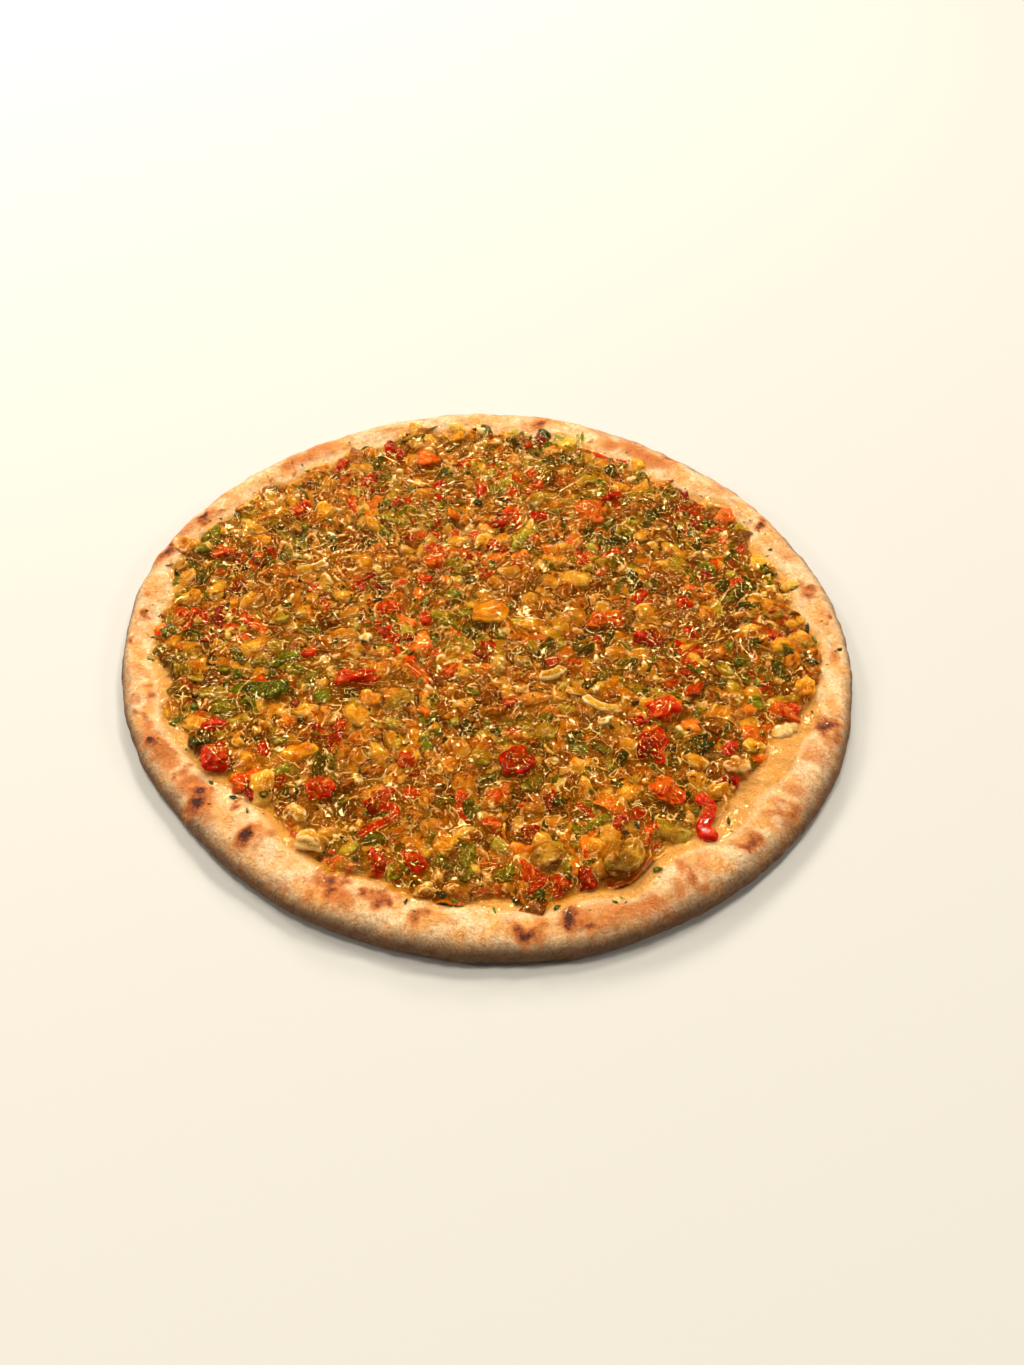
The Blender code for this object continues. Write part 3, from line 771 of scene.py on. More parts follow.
def makeMashGrid():
    draw = np.random.default_rng(mash["seed"])
    base = ground - mash["sink"] * smoothStep(-1.0, 4.0, gridInside)
    base = base - mash["edgeSink"] * smoothStep(1.5, -1.5, gridInside)
    height = base.copy()
    paint = np.ones((cells, cells, 4))
    thin = smoothStep(3.5, -1.0, gridInside + 0.5 * ragged)[..., None]
    # painted shade: the darkened sauce fills the gaps between the lumps
    paint[:] = np.array(mash["sauceAndShade"]) * (1 - thin) + np.array(mash["edge"]) * thin
    kinds = mash["kinds"]
    groups = (flatNoise(gridX, gridY, mash["groupSize"], 100 + k) for k in range(len(kinds)))
    likely = np.stack([kind[0] * np.exp(mash["grouping"] * group) for kind, group in zip(kinds, groups)])
    likely = np.cumsum(likely / likely.sum(0), axis=0)
    for _ in range(mash["lumps"]):
        far, turn = mash["within"] * math.sqrt(draw.uniform()), draw.uniform(0, math.tau)
        x, y = far * math.cos(turn), far * math.sin(turn)
        i, j = cellOf(x, y)
        chosen = int(np.searchsorted(likely[:, i, j], draw.uniform() * 0.9999))
        _, colour, least, most = kinds[chosen]
        long = draw.uniform(least, most) / 2
        wide, lean, corner = long * draw.uniform(0.5, 0.95), draw.uniform(0, math.pi), draw.uniform(1.9, 3.6)
        tall, lift, shade = draw.uniform(0.5, 0.85) * wide, draw.uniform(-0.3, 0.5), draw.uniform(0.5, 1.1)
        if gridInside[i, j] + ragged[i, j] < 0.8:
            continue
        reach = int(long * 1.3 / cell) + 2
        window = np.s_[max(i - reach, 0):i + reach + 1, max(j - reach, 0):j + reach + 1]
        dx, dy = gridX[window] - x, gridY[window] - y
        u = (dx * math.cos(lean) + dy * math.sin(lean)) / long
        v = (dy * math.cos(lean) - dx * math.sin(lean)) / wide
        away = (np.abs(u) ** corner + np.abs(v) ** corner) ** (1 / corner)
        top = base[window] + lift + min(tall, mash["tallest"]) * np.sqrt(np.clip(1 - away**2.6, 0, 1))
        higher = (away < 1) & (top > height[window])
        height[window][higher] = top[higher]
        paint[window][higher] = (*[min(1, part * shade) for part in colour[:3]], 1)
    height = blurred(height, mash["soft"] / cell)
    paint = np.stack([blurred(paint[..., k], mash["paintSoft"] / cell) for k in range(4)], axis=-1)
    return height, paint


mashHeight, mashPaint = makeMashGrid()


def makeMashFinish():
    f = Finish("mash")
    paint = f.node("ShaderNodeAttribute", {"attribute_name": "paint"})
    broad, fine = f.noise(2.6, 3, 0.6, distortion=0.6), f.noise(1.1, 3, 0.6)
    mottle = f.ramp(broad * 0.6 + fine * 0.4, (0.34, rgb(186, 158, 118)), (0.6, (1, 1, 1, 1)))
    colour = f.mix(1.0, paint, mottle, "MULTIPLY")
    relief = f.bump(fine, 0.12, 0.6, f.bump(broad, 0.6, 0.5))
    return f.done(f.wetShader(colour, relief))


def makeHalves(name, keep, heights, finish, masks):
    # one sheet over the grid, in two pieces that share the row of points in the middle
    for side, here in (("left", gridX < 0.1), ("right", gridX > -0.1)):
        part = keep & here
        points = np.stack([gridX[part], gridY[part], heights[part]], axis=-1)
        halfMasks = {key: mask[part] for key, mask in masks.items()}
        piece = newPiece(f"{name}_{side}", points, gridSheet(part), finish, halfMasks)
        standsFor(piece, "topping", "topping")
        print(piece.name + ":", len(piece.data.polygons), "faces")


makeHalves("mash", gridInside > -2.2, mashHeight, makeMashFinish(), {"paint": mashPaint})


# Bits of middling size, placed where they stand out: x, y, length, width and turn in degrees

placed = {
    "tomato": (
        (22, 63, 9, 6, 5), (-22, 85, 9, 6, 92), (-41, 107, 11, 5, 121), (-22, -107, 10, 6, 121),
        (-4, 82, 10, 5, 90), (-66, 98, 8, 5, 75), (18, -116, 10, 4, 41), (-25, -81, 7, 6, 18),
        (78, 11, 8, 5, 130), (104, 41, 8, 4, 69), (10, 81, 7, 5, 104), (-5, 51, 7, 5, 114),
        (61, 15, 8, 4, 65), (55, 77, 6, 5, 95), (-78, -61, 7, 4, 118), (-24, 3, 6, 5, 121),
        (-118, 5, 5, 4, 10), (87, -61, 7, 4, 52), (-30, 98, 6, 4, 98), (52, -102, 8, 3, 34),
        (-35, 73, 6, 4, 104), (-67, -16, 7, 4, 35), (85, -75, 6, 4, 163), (12, 32, 5, 4, 167),
        (26, -20, 6, 4, 162), (-22, 77, 6, 4, 124), (-45, 110, 6, 10, 10),
    ),
    "yellow_pepper": ((-94, 47, 9, 8, 20), (118, -33, 9, 7, 60), (-65, -62, 12, 8, 30), (-15, 118, 7, 5, 40),
                      (66, 100, 7, 5, 120), (-42, -38, 8, 7, 70)),
    "garlic": (
        (-9, 86, 6, 5, 55), (63, 88, 6, 4, 29), (23, 86, 6, 4, 39), (-8, 56, 6, 4, 55),
        (-45, 31, 6, 4, 115), (-60, 62, 5, 4, 109), (33, 94, 6, 4, 64), (-18, 95, 5, 4, 94),
        (-28, 55, 5, 4, 135), (40, 87, 5, 4, 93), (-64, 75, 6, 3, 128), (-53, 70, 5, 3, 110),
        (108, -52, 11, 7, 15), (-63, -88, 8, 6, 140), (-52, -96, 7, 5, 30), (-30, -88, 7, 5, 60),
        (-6, -96, 8, 5, 20), (12, -92, 6, 5, 80),
    ),
    "green_pepper": (
        (-14, 15, 8, 6, 60), (-72, -71, 13, 6, 30), (-92, -33, 10, 4, 50), (-75, -18, 12, 5, 20),
        (34, -61, 8, 5, 0), (-20, -60, 7, 5, 94), (99, -41, 7, 6, 62), (77, -45, 7, 4, 63),
        (49, 87, 6, 5, 58), (-5, -13, 6, 3, 79), (-38, 66, 5, 4, 110), (105, -28, 7, 3, 72),
        (-23, -49, 6, 3, 48), (-19, -22, 6, 3, 33), (-60, -36, 9, 6, 100),
    ),
}


def joined(bits):
    points, faces, count = [], [], 0
    for bit, bitFaces in bits:
        points.append(bit)
        faces += [[corner + count for corner in face] for face in bitFaces]
        count += len(bit)
    return np.concatenate(points), faces


def placeBits():
    pieces = []
    for number, (slotName, places) in enumerate(placed.items()):
        shape = makeNub if slotName == "garlic" else makeLump
        bits = []
        for k, (x, y, length, width, turn) in enumerate(places):
            bit, faces = shape(length, width, min(length, width) * 0.75, 40 * number + k, 3)
            bits.append((turned(bit, turn) + (x, y, mashHeight[cellOf(x, y)] + 0.5), faces))
        piece = newPiece(slotName + "_middling", *joined(bits), bitFinishes[slotName])
        standsFor(piece, slotName, "topping")
        pieces.append(piece)
    return pieces


placedPieces = placeBits()


# The sheet that the small bits are scattered over, with how likely each kind is there

spill = {  # how far the bits lie out over the rim: at these angles, by this many mm, over this many degrees
    "at": np.array((85.0, 5.0, 165.0)),
    "extra": np.array((4.0, 3.5, 2.5)),
    "width": np.array((38.0, 26.0, 20.0)),
    "stray": 0.10,  # how likely crumbs are further out
}


def patchy(low, high, size, seed, extra=0.0):
    return smoothStep(low, high, flatNoise(gridX, gridY, size, seed) + extra)


away = degreesFrom(spill["at"], np.arctan2(gridY, gridX)[..., None])
spread = gridInside + ragged + (spill["extra"] * np.exp(-((away / spill["width"]) ** 2))).sum(-1)
stray = spill["stray"] * smoothStep(-13.0, -6.0, gridInside) * patchy(0.0, 0.6, 11, 20)
room = smoothStep(-1.5, 4.0, spread) ** 1.5 * roundLarge(gridX, gridY)
for places in placed.values():
    for x, y, length, width, turn in places:
        room = room * smoothStep(0.25, 0.6, np.hypot(gridX - x, gridY - y) / (length + width))
greenPatches = ((50, 90), (95, 45), (90, 25), (110, -22), (77, -45), (34, -61), (-20, -60), (105, -30),
                (-5, -13), (-38, 66), (-106, 18), (-23, -49), (40, -21), (10, -74), (-90, 62), (-60, -75),
                (30, -95), (-98, -25))
greens = np.zeros_like(room)
for x, y in greenPatches:
    greens = np.maximum(greens, np.exp(-(np.hypot(gridX - x, gridY - y) / 11) ** 2))
clumps = 0.5 + 0.5 * flatNoise(gridX, gridY, 9, 5)
rooms = {
    "room": room,
    "nubRoom": room * patchy(-0.2, 0.5, 15, 15),
    "chunkRoom": room * patchy(-0.75, 0.1, 16, 18),
    "pepperRoom": room * patchy(-0.3, 0.45, 17, 19, greens),
    "herbRoom": np.clip(room * (0.35 + 0.35 * clumps + 0.6 * greens), 0, 1),
    "crumbRoom": np.maximum(room, stray),
    "redRoom": room * patchy(-0.05, 0.55, 16, 6) * (1 - 0.5 * greens),
}


# Shapes of the chopped bits, about one unit across

def diceShape(draw, boxy, lumps, waist=0.0):
    # boxy is 2 for a ball and more for a cube, and lumps is how uneven it is
    bm = bmesh.new()
    bmesh.ops.create_cube(bm, size=2)
    bmesh.ops.subdivide_edges(bm, edges=bm.edges, cuts=2, use_grid_fill=True)
    points, faces = takenApart(bm)
    points /= (np.abs(points) ** boxy).sum(1)[:, None] ** (1 / boxy)
    offset = Vector(draw.uniform(0, 90, 3))
    points *= np.array([0.5 + lumps * noise.noise(Vector(p) * 1.3 + offset) for p in points])[:, None]
    points[:, 1:] *= (1 - waist * np.exp(-(points[:, 0] / 0.2) ** 2))[:, None]
    points[:, 0] += draw.uniform(-0.3, 0.3) * points[:, 2]
    points[:, 1] += draw.uniform(-0.3, 0.3) * points[:, 0] ** 2
    return points, faces


def crumbShape(draw):
    points, faces = ball(1, 0.55)
    return points * (1 + draw.uniform(-0.2, 0.2, (len(points), 1))), faces


def scrapShape(draw, corners=7):
    # a thin, curled scrap of leaf
    radii = draw.uniform(0.32, 0.56, corners)
    angle = np.arange(corners) * math.tau / corners
    x, y = radii * np.cos(angle), radii * np.sin(angle) * draw.uniform(0.55, 0.9)
    z = 0.22 * np.sin(2 * angle + draw.uniform(0, 6)) + 0.5 * x * x
    top = np.stack([x, y, z + 0.045], axis=-1)
    low = np.stack([x, y, z - 0.045], axis=-1)
    points = np.concatenate([top, low, [(0, 0, 0.06), (0, 0, -0.05)]])
    faces = []
    for k in range(corners):
        after = (k + 1) % corners
        faces += [(2 * corners, k, after), (2 * corners + 1, corners + after, corners + k)]
        faces.append((k, corners + k, corners + after, after))
    return points, faces


def curlShape(draw, bend, thin=0.16, sections=5):
    # a sliver cut across a pepper or an onion
    radius = 0.5 / math.sin(bend / 2)
    points = []
    for k in range(sections + 1):
        share = k / sections
        turn = (share - 0.5) * bend
        taper = 1 - 0.5 * abs(2 * share - 1) ** 3
        x, y = radius * math.sin(turn), radius * (1 - math.cos(turn)) - radius * 0.12 * bend
        for side, up in ((1, 1), (-1, 1), (-1, -1), (1, -1)):
            across = side * thin / 2 * taper
            points.append((x - math.sin(turn) * across, y + math.cos(turn) * across,
                           up * thin * 0.6 * taper + 0.06 * math.sin(3 * share + draw.uniform(0, 0.4))))
    faces = ringFaces(sections + 1, 4)
    faces += [[3, 2, 1, 0], [sections * 4 + k for k in range(4)]]
    return np.array(points), faces


# Each kind of chopped bit: its colours, and its spacing, lift and sizes in mm
chopped = {
    "chunks": {
        "shape": lambda draw: diceShape(draw, draw.uniform(2.2, 3.6), 0.3),
        "colours": ((104, 46, 0), (168, 84, 0), (208, 124, 4), (234, 160, 26), (242, 192, 84)),
        "slot": "onion", "room": "chunkRoom", "spacing": 7.4, "lift": (-1.2, 0.4), "tilt": 0.3,
        "seed": 12, "least": (6.5, 5.2, 3.4), "most": (12.2, 9.0, 5.2), "marble": 3.4,
    },
    "mince": {
        "shape": lambda draw: diceShape(draw, draw.uniform(2.0, 2.6), 0.36, draw.uniform(0, 0.4)),
        "colours": ((134, 66, 8), (180, 100, 20), (214, 146, 50), (240, 190, 100), (252, 222, 156)),
        "slot": "mince", "room": "nubRoom", "spacing": 5.8, "lift": (-0.7, 0.8), "tilt": 0.6,
        "seed": 11, "least": (3.8, 3.4, 2.8), "most": (7.6, 6.2, 5.0), "marble": 2.0,
    },
    "tomato": {
        "shape": lambda draw: diceShape(draw, draw.uniform(2.1, 3.2), 0.4),
        "colours": ((120, 4, 0), (180, 16, 0), (212, 42, 0), (230, 82, 2), (238, 132, 18)),
        "slot": "tomato", "room": "redRoom", "spacing": 7.4, "lift": (-0.9, 0.7), "tilt": 0.4,
        "seed": 13, "least": (5.0, 4.2, 2.8), "most": (12.0, 8.6, 4.8), "marble": 2.6,
    },
    "pepper": {
        "shape": lambda draw: diceShape(draw, draw.uniform(2.2, 3.4), 0.3),
        "colours": ((34, 42, 0), (68, 74, 0), (104, 100, 2), (142, 128, 10), (192, 170, 54)),
        "slot": "green_pepper", "room": "pepperRoom", "spacing": 7.0, "lift": (-0.9, 0.7), "tilt": 0.4,
        "seed": 14, "least": (4.8, 4.0, 2.6), "most": (12.0, 8.4, 4.4), "marble": 2.8,
    },
    "slivers": {
        "shape": lambda draw: curlShape(draw, draw.uniform(0.7, 2.4), draw.uniform(0.09, 0.17)),
        "colours": ((150, 92, 8), (200, 138, 34), (236, 186, 84), (206, 86, 4), (104, 100, 8)),
        "slot": "onion", "room": "room", "spacing": 11.0, "lift": (0.2, 1.2), "tilt": 0.3,
        "seed": 15, "least": (5.0, 5.0, 5.0), "most": (12.0, 11.0, 8.0), "marble": 2.0,
    },
    "herbs": {
        "shape": scrapShape,
        "colours": ((14, 22, 0), (26, 42, 2), (42, 62, 6), (64, 84, 12), (96, 110, 24)),
        "slot": "green_pepper", "room": "herbRoom", "spacing": 5.0, "lift": (0.3, 1.4), "tilt": 0.5,
        "seed": 16, "least": (2.6, 2.2, 2.0), "most": (6.8, 5.0, 3.8), "marble": 1.6,
    },
    "crumbs": {
        "shape": crumbShape,
        "colours": ((96, 44, 0), (168, 88, 6), (222, 154, 54), (250, 214, 136), (208, 62, 4)),
        "slot": "mince", "room": "crumbRoom", "spacing": 7.5, "lift": (0.0, 1.2), "tilt": 0.6,
        "seed": 17, "least": (0.9, 0.9, 0.7), "most": (2.8, 2.4, 1.9), "marble": 1.2,
    },
}


def makeScatterTree():
    tree = bpy.data.node_groups.new("scatterBits", "GeometryNodeTree")
    wanted = (("Field", "Geometry"), ("Shapes", "Collection"), ("Where", "String"), ("Spacing", "Float"),
              ("Lift Least", "Float"), ("Lift Most", "Float"), ("Tilt", "Float"), ("Least", "Vector"),
              ("Most", "Vector"), ("Kinds", "Int"), ("Seed", "Int"), ("Finish", "Material"))
    for name, kind in wanted:
        tree.interface.new_socket(name=name, in_out="INPUT", socket_type="NodeSocket" + kind)
    tree.interface.new_socket(name="Bits", in_out="OUTPUT", socket_type="NodeSocketGeometry")
    g = Graph(tree)
    given = g.node("NodeGroupInput").other
    seed = given("Seed")

    def random(kind, low, high, more=None):  # each kind of value has its own pair of sockets
        pair = ("FLOAT_VECTOR", "FLOAT", "INT").index(kind)
        values = {2 * pair: low, 2 * pair + 1: high, 8: seed + more if more else seed}
        return g.node("FunctionNodeRandomValue", {"data_type": kind}, values, output=pair)

    def vector(**parts):
        return g.node("ShaderNodeCombineXYZ", None, parts)

    where = g.node("GeometryNodeInputNamedAttribute", {"data_type": "FLOAT"}, {"Name": given("Where")})
    points = g.node("GeometryNodeDistributePointsOnFaces", {"distribute_method": "POISSON"}, {
        "Mesh": given("Field"), "Distance Min": given("Spacing"), "Density Max": 450000.0,
        "Density Factor": where, "Seed": seed})
    rise = vector(Z=random("FLOAT", given("Lift Least"), given("Lift Most")))
    raised = g.node("GeometryNodeSetPosition", None, {"Geometry": points, "Offset": rise})
    tip = given("Tilt")
    low, high = vector(X=tip * -1.0, Y=tip * -1.0, Z=0.0), vector(X=tip, Y=tip, Z=math.tau)
    turn = g.node("FunctionNodeRotateRotation", {"rotation_space": "LOCAL"}, {
        "Rotation": points.other("Rotation"), "Rotate By": random("FLOAT_VECTOR", low, high, 1.0)})
    shapes = g.node("GeometryNodeCollectionInfo", None, {
        "Collection": given("Shapes"), "Separate Children": True, "Reset Children": True})
    # the seeds' steps keep turn, size, shape and tone apart
    bits = g.node("GeometryNodeInstanceOnPoints", None, {
        "Points": raised, "Instance": shapes, "Pick Instance": True,
        "Instance Index": random("INT", 0, given("Kinds"), 3.0), "Rotation": turn,
        "Scale": random("FLOAT_VECTOR", given("Least"), given("Most"), 2.0)})
    bits = g.node("GeometryNodeStoreNamedAttribute", {"data_type": "FLOAT", "domain": "INSTANCE"}, {
        "Geometry": bits, "Name": "tone", "Value": random("FLOAT", 0.0, 1.0, 4.0)})
    solid = g.node("GeometryNodeRealizeInstances", None, {"Geometry": bits})
    done = g.node("GeometryNodeSetMaterial", None, {"Geometry": solid, "Material": given("Finish")})
    g.node("NodeGroupOutput", None, {"Bits": done})
    return tree


scatterTree = makeScatterTree()
shapeCount = 7  # different shapes of each kind


def scatter(name, kind, finish):
    draw = np.random.default_rng(kind["seed"])
    folder = bpy.data.collections.new(name + "Shapes")
    bpy.context.scene.collection.children.link(folder)
    for k in range(shapeCount):
        points, faces = kind["shape"](draw)
        mesh = bpy.data.meshes.new(f"{name}Shape{k}")
        mesh.from_pydata(points.tolist(), [], faces)
        mesh.shade_smooth()
        folder.objects.link(bpy.data.objects.new(mesh.name, mesh))
    field = newPiece(name + "Field", fieldPoints, fieldFaces, finish, fieldMasks)
    modifier = field.modifiers.new("scatter", "NODES")
    modifier.node_group = scatterTree
    sockets = {item.name: item.identifier for item in scatterTree.interface.items_tree}
    values = {
        "Shapes": folder, "Where": kind["room"], "Spacing": kind["spacing"] * mm,
        "Lift Least": kind["lift"][0] * mm, "Lift Most": kind["lift"][1] * mm, "Tilt": kind["tilt"],
        "Least": [size * mm for size in kind["least"]], "Most": [size * mm for size in kind["most"]],
        "Kinds": shapeCount - 1, "Seed": kind["seed"], "Finish": finish,
    }
    for key, value in values.items():
        modifier[sockets[key]] = value
    graph = bpy.context.evaluated_depsgraph_get()
    mesh = bpy.data.meshes.new_from_object(field.evaluated_get(graph))
    mesh.name = name
    bpy.data.objects.remove(field)
    for item in list(folder.objects):
        bpy.data.objects.remove(item)
    bpy.data.collections.remove(folder)
    mesh.shade_smooth()
    return newObject(name, mesh)


# a smoothed mash with half as many rows, which reaches 13 mm out over the rim
thinKeep = gridInside[::2, ::2] > -13
fieldZ = np.where(gridInside > 0, blurred(mashHeight, 1.6 / cell), ground - 0.2)
fieldPoints = np.stack([grid[::2, ::2][thinKeep] for grid in (gridX, gridY, fieldZ)], axis=-1)
fieldFaces = gridSheet(thinKeep)
fieldMasks = {name: mask[::2, ::2][thinKeep] for name, mask in rooms.items()}
choppedPieces = []
for name, kind in chopped.items():
    finish = makeWetFinish(name + "Chopped", kind["colours"], True, kind["marble"], 0.08)
    piece = scatter(name + "_chopped", kind, finish)
    standsFor(piece, kind["slot"], "topping")
    choppedPieces.append(piece)
    print(name + ":", len(piece.data.polygons), "faces")
standsFor(crust, "bread", "bread")


# The glaze: clear amber oil that stands between the bits and climbs their sides a little

glaze = {
    "levelBlur": 1.9,
    "blur": 0.3,
    "level": 0.5,
    "edgeDrop": 1.6,  # how much lower it stands round the heap
    "pools": 0.45,
    "climb": 0.9,
    "film": 0.05,
    "depths": (0.2, 2.1),  # how deep it is where it starts to darken and where it is darkest
    "thin": 0.025,  # how much is amber where it is thinnest and deepest
    "deep": 0.6,
    "tints": ((0.97, 0.89, 0.44, 1.0), (0.72, 0.54, 0.12, 1.0)),
    "shade": 0.8,
    # the deep oil's own colour, with painted shade in the gaps between bits
    "deepOilAndShade": rgb(46, 18, 0),
    # where and how wide the painted highlight lines lie
    "lineAt": 0.3,
    "lineWidth": 0.07,
    "highlightCurls": (6.0, 2.4, 0.009),  # size, twist and width of the stray threads of painted highlight
    # a pale colour painted along lines as highlight
    "paintedHighlight": rgb(250, 204, 104),
    "leastGlint": 0.05,
    "lines": ((4.2, 2.2), (6.5, 3.0)),  # size and twist
    "lineShape": (0.07, 0.36, 0.9),  # width, depth and strength
    "glint": (1.0, 0.80, 0.38, 1.0),
    "colours": (rgb(150, 70, 0), rgb(190, 102, 0), rgb(216, 134, 4)),
}


above, down = 0.05, Vector((0, 0, -1))  # where rays start, in metres, and where they go


def heapTop(pieces):
    # the height of the heap over each cell, found by looking straight down
    heights = np.where(gridInside > -1, mashHeight, 0)
    seen = np.argwhere(gridInside > -24)
    graph = bpy.context.evaluated_depsgraph_get()
    for piece in pieces:
        tree = BVHTree.FromObject(piece, graph)
        corners = np.array(piece.bound_box) / mm - shift
        low, high = corners.min(0), corners.max(0)
        x, y = gridLine[seen[:, 0]], gridLine[seen[:, 1]]
        near = (x > low[0]) & (x < high[0]) & (y > low[1]) & (y < high[1])
        if piece is crust:  # no rays where the mash hides it
            near &= gridInside[seen[:, 0], seen[:, 1]] < 4
        for i, j in seen[near].tolist():
            start = ((gridLine[i] + shift[0]) * mm, (gridLine[j] + shift[1]) * mm, above)
            place = tree.ray_cast(start, down)[0]
            if place and place[2] / mm > heights[i, j]:
                heights[i, j] = place[2] / mm
    return heights


def smoothMax(first, second, soft):
    share = np.clip(0.5 + 0.5 * (first - second) / soft, 0, 1)
    return second * (1 - share) + first * share + soft * share * (1 - share)


heap = heapTop([crust, *choppedPieces, *placedPieces, *largePieces])
wetness = oilShare(gridX, gridY)
pools = glaze["pools"] * flatNoise(gridX, gridY, 11, 12)
level = blurred(heap, glaze["levelBlur"] / cell) + glaze["level"] + pools
raggedInside = gridInside + 0.6 * ragged
level = level - glaze["edgeDrop"] * smoothStep(2.0, -2.0, raggedInside)
glazeTop = smoothMax(level, blurred(heap, glaze["blur"] / cell) + glaze["film"], glaze["climb"])
depth = blurred(smoothStep(*glaze["depths"], glazeTop - heap), glaze["blur"] / cell)
heaped = smoothStep(-3.0, 1.5, raggedInside)


def makeGlazeFinish():
    f = Finish("glaze")
    depth, soaked, heaped = (f.mask(name) for name in ("depth", "wet", "heaped"))
    colour = f.ramp(f.noise(8, 2), *zip((0.3, 0.5, 0.7), glaze["colours"]))
    # deep oil is darker, and this darkening also paints shade into the gaps between bits
    colour = f.mix(depth.between(0.3, 0.95) * glaze["shade"], colour, glaze["deepOilAndShade"])
    relief = None
    wide, deep, strength = glaze["lineShape"]
    for size, twist in glaze["lines"]:  # lines of meniscus, which wind about
        winding = abs(f.noise(size, 1, 0.5, twist) - 0.5)
        relief = f.bump(winding.between(0.0, wide), deep, strength, relief)
    amber = f.shader(colour, 0.3, **{"Specular IOR Level": 0.0})
    light, strong = (f.node("ShaderNodeBsdfTransparent", None, {"Color": tint}) for tint in glaze["tints"])
    patches = (f.noise(22, 2, 0.6) * 0.55 + f.noise(7, 2, 0.6) * 0.45).between(0.38, 0.58)
    clear = f.blend(heaped, f.node("ShaderNodeBsdfTransparent"), f.blend(patches, light, strong))
    share = (depth * (glaze["deep"] - glaze["thin"]) + glaze["thin"]) * soaked
    body = f.blend(share, clear, amber)
    # painted highlights: pale lines where the oil meets a bit, and a few stray threads, stand in for glints
    # on the wet oil
    line = 1.0 - abs(depth - glaze["lineAt"]) * (1 / glaze["lineWidth"])
    size, twist, thin = glaze["highlightCurls"]
    curl = 1.0 - abs(f.noise(size, 1, 0.5, twist) - 0.5) * (1 / thin)
    broken = f.noise(4.0, 2, 0.5)
    highlightShare = line.between(0.0, 0.8) * broken.between(0.48, 0.6)
    highlightShare = highlightShare + curl.between(0.0, 0.8) * broken.between(0.5, 0.4) * 0.4
    body = f.blend(highlightShare * heaped, body, f.shader(glaze["paintedHighlight"], 0.15, relief))
    shine = f.shader(glaze["glint"], 0.05, relief, Metallic=1.0)
    slant = f.node("ShaderNodeLayerWeight", None, {"Blend": 0.5, "Normal": relief}).other("Facing")
    least = glaze["leastGlint"]  # seen straight on, and the same from above and from below
    edge = slant ** 5.0 * (1 - least) + least
    return f.done(f.blend(edge * soaked, body, shine))


glazeMasks = {"depth": depth, "wet": wetness, "heaped": heaped}
makeHalves("glaze", wetness > 0.02, glazeTop, makeGlazeFinish(), glazeMasks)


# Herb flakes on the bare rim: angle, how far in from the edge and length

rimFlakes = {
    "placed": ((204, 15, 4), (219, 15, 3), (224, 17, 4), (228, 17, 3), (259, 14, 3), (272, 15, 4),
               (281, 15, 3), (289, 12, 3), (297, 17, 4), (312, 19, 4), (354, 5, 3), (9, 14, 4),
               (20, 12, 3), (166, 9, 3), (188, 12, 4)),
    "specks": 90,
    "seed": 51,
}


def makeRimFlakes():
    draw = np.random.default_rng(rimFlakes["seed"])
    tree = BVHTree.FromObject(crust, bpy.context.evaluated_depsgraph_get())
    places = list(rimFlakes["placed"])
    for _ in range(rimFlakes["specks"]):
        turn = draw.uniform(0, 360)
        bare = float(bareWidth(np.array(math.radians(turn))))
        places.append((turn, bare * (1 - 0.55 * draw.uniform() ** 1.6), draw.uniform(0.7, 2.0)))
    bits, tones = [], []
    for degrees, inward, length in places:
        angle = math.radians(degrees)
        reach = float(edgeRadius(np.array(angle))) - inward
        x, y = reach * math.cos(angle) + shift[0], reach * math.sin(angle) + shift[1]
        place, normal = tree.ray_cast((x * mm, y * mm, above), down)[:2]
        bit, faces = scrapShape(draw)
        bit = bit * (length, length * draw.uniform(0.4, 0.8), length * 0.6)
        bit = turned(bit, draw.uniform(0, 360))
        turn = np.array(normal.to_track_quat("Z", "Y").to_matrix())
        bits.append((bit @ turn.T + np.array(place) / mm - shift + np.array(normal) * 0.16, faces))
        tones += [draw.uniform(0.2, 0.9)] * len(bit)
    finish = makeWetFinish("rimHerbs", chopped["herbs"]["colours"], True, 1.6, 0.2)
    return newPiece("rim_flakes", *joined(bits), finish, {"tone": tones})


flakes = makeRimFlakes()
standsFor(flakes, "green_pepper", "bread")


# Floor, light and camera

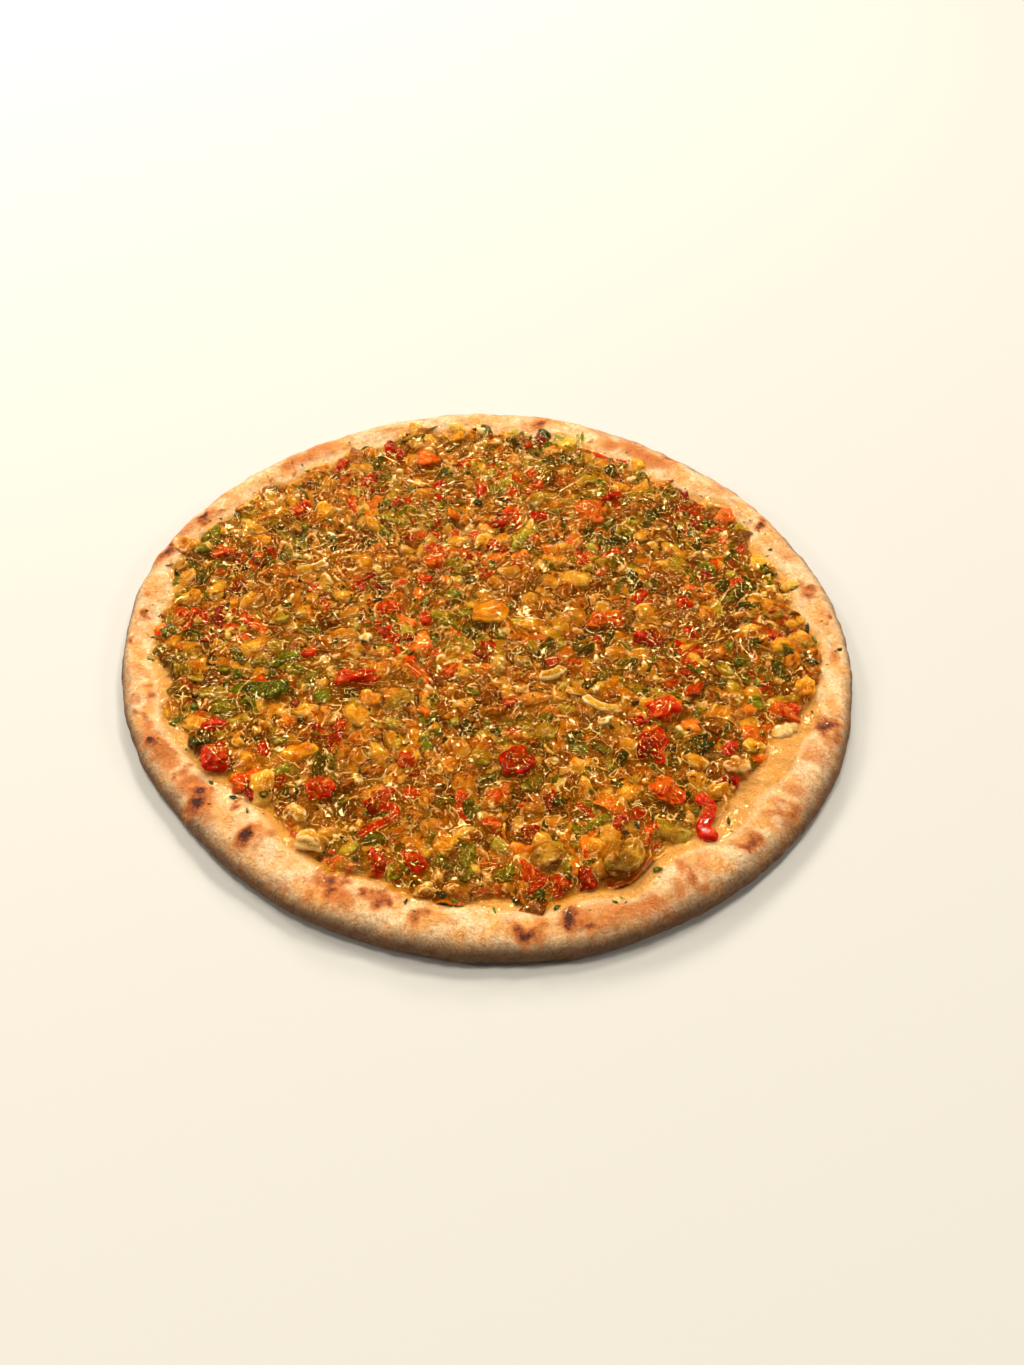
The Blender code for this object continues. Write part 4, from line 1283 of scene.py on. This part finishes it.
studio = {
    "floor": rgb(200, 198, 193),
    "world": 0.025,  # strength of the even light
    "horizon": rgb(238, 229, 213),  # seen by the camera alone
    "warmth": (1.0, 0.935, 0.82),
    # from where, how wide in degrees, strength and whether it shows in wet surfaces
    "suns": {
        "top": ((-0.10, 0.32, 0.85), 50, 0.72, False),
        "key": ((0.34, 0.56, 0.68), 10, 1.47, True),
    },
    # place and size in metres and power in watts, for the glints
    "lamps": {
        "back": ((-0.12, 1.56, 1.00), 0.44, 15.0),
        "backLeft": ((-1.00, 1.04, 1.10), 0.44, 15.0),
        "left": ((-1.48, -0.10, 0.92), 0.36, 7.0),
        "right": ((1.44, 0.00, 0.96), 0.36, 7.0),
        "over": ((-0.24, 0.24, 1.90), 0.44, 14.0),
        "front": ((0.20, -1.20, 1.44), 0.32, 1.4),
    },
    # place in mm, degrees down from level, and focal length as a share of the picture's height
    "camera": ((9.937, -300.203, 319.462), 49.018, 1110 / 1365),
}


def addLight(name, light, place, shows=True):
    light.color = studio["warmth"]
    lamp = newObject(name, light)
    lamp.location = place
    lamp.visible_glossy = shows
    lamp.rotation_euler = Vector(place).to_track_quat("Z", "Y").to_euler()


def makeStudio():
    f = Finish("floorPaint")
    finish = f.done(f.shader(studio["floor"], 1.0, **{"Specular IOR Level": 0.0}))
    far, under = 6000.0, -0.02
    corners = np.array([(-far, -far, under), (far, -far, under), (far, far, under), (-far, far, under)])
    newPiece("floor", corners, [(0, 1, 2, 3)], finish)
    world = bpy.data.worlds.new("studio")
    world.use_nodes = True
    world.node_tree.nodes.clear()
    g = Graph(world.node_tree)
    soft = g.node("ShaderNodeBackground", None, {"Color": (1, 1, 1, 1), "Strength": studio["world"]})
    pale = g.node("ShaderNodeBackground", None, {"Color": studio["horizon"]})
    seen = g.node("ShaderNodeLightPath").other("Is Camera Ray")
    g.node("ShaderNodeOutputWorld", None, {"Surface": g.blend(seen, soft, pale)})
    bpy.context.scene.world = world
    for name, (place, wide, strength, shows) in studio["suns"].items():
        light = bpy.data.lights.new(name, "SUN")
        light.angle = math.radians(wide)
        light.energy = strength
        addLight(name, light, place, shows)
    for name, (place, size, power) in studio["lamps"].items():
        light = bpy.data.lights.new(name, "AREA")
        light.shape = "DISK"
        light.size = size
        light.energy = power
        addLight(name, light, place)


def makeCamera():
    place, down, focal = studio["camera"]
    camera = bpy.data.cameras.new("camera")
    camera.sensor_width = 36
    camera.lens = focal * camera.sensor_width
    camera.clip_start, camera.clip_end = 0.01, 20
    item = newObject("camera", camera)
    item.location = Vector(place) * mm + Vector(shift) * mm
    item.rotation_euler = (math.radians(90 - down), 0, 0)
    bpy.context.scene.camera = item


makeStudio()
makeCamera()
bpy.context.scene.view_settings.view_transform = "Standard"
print("studio ready")
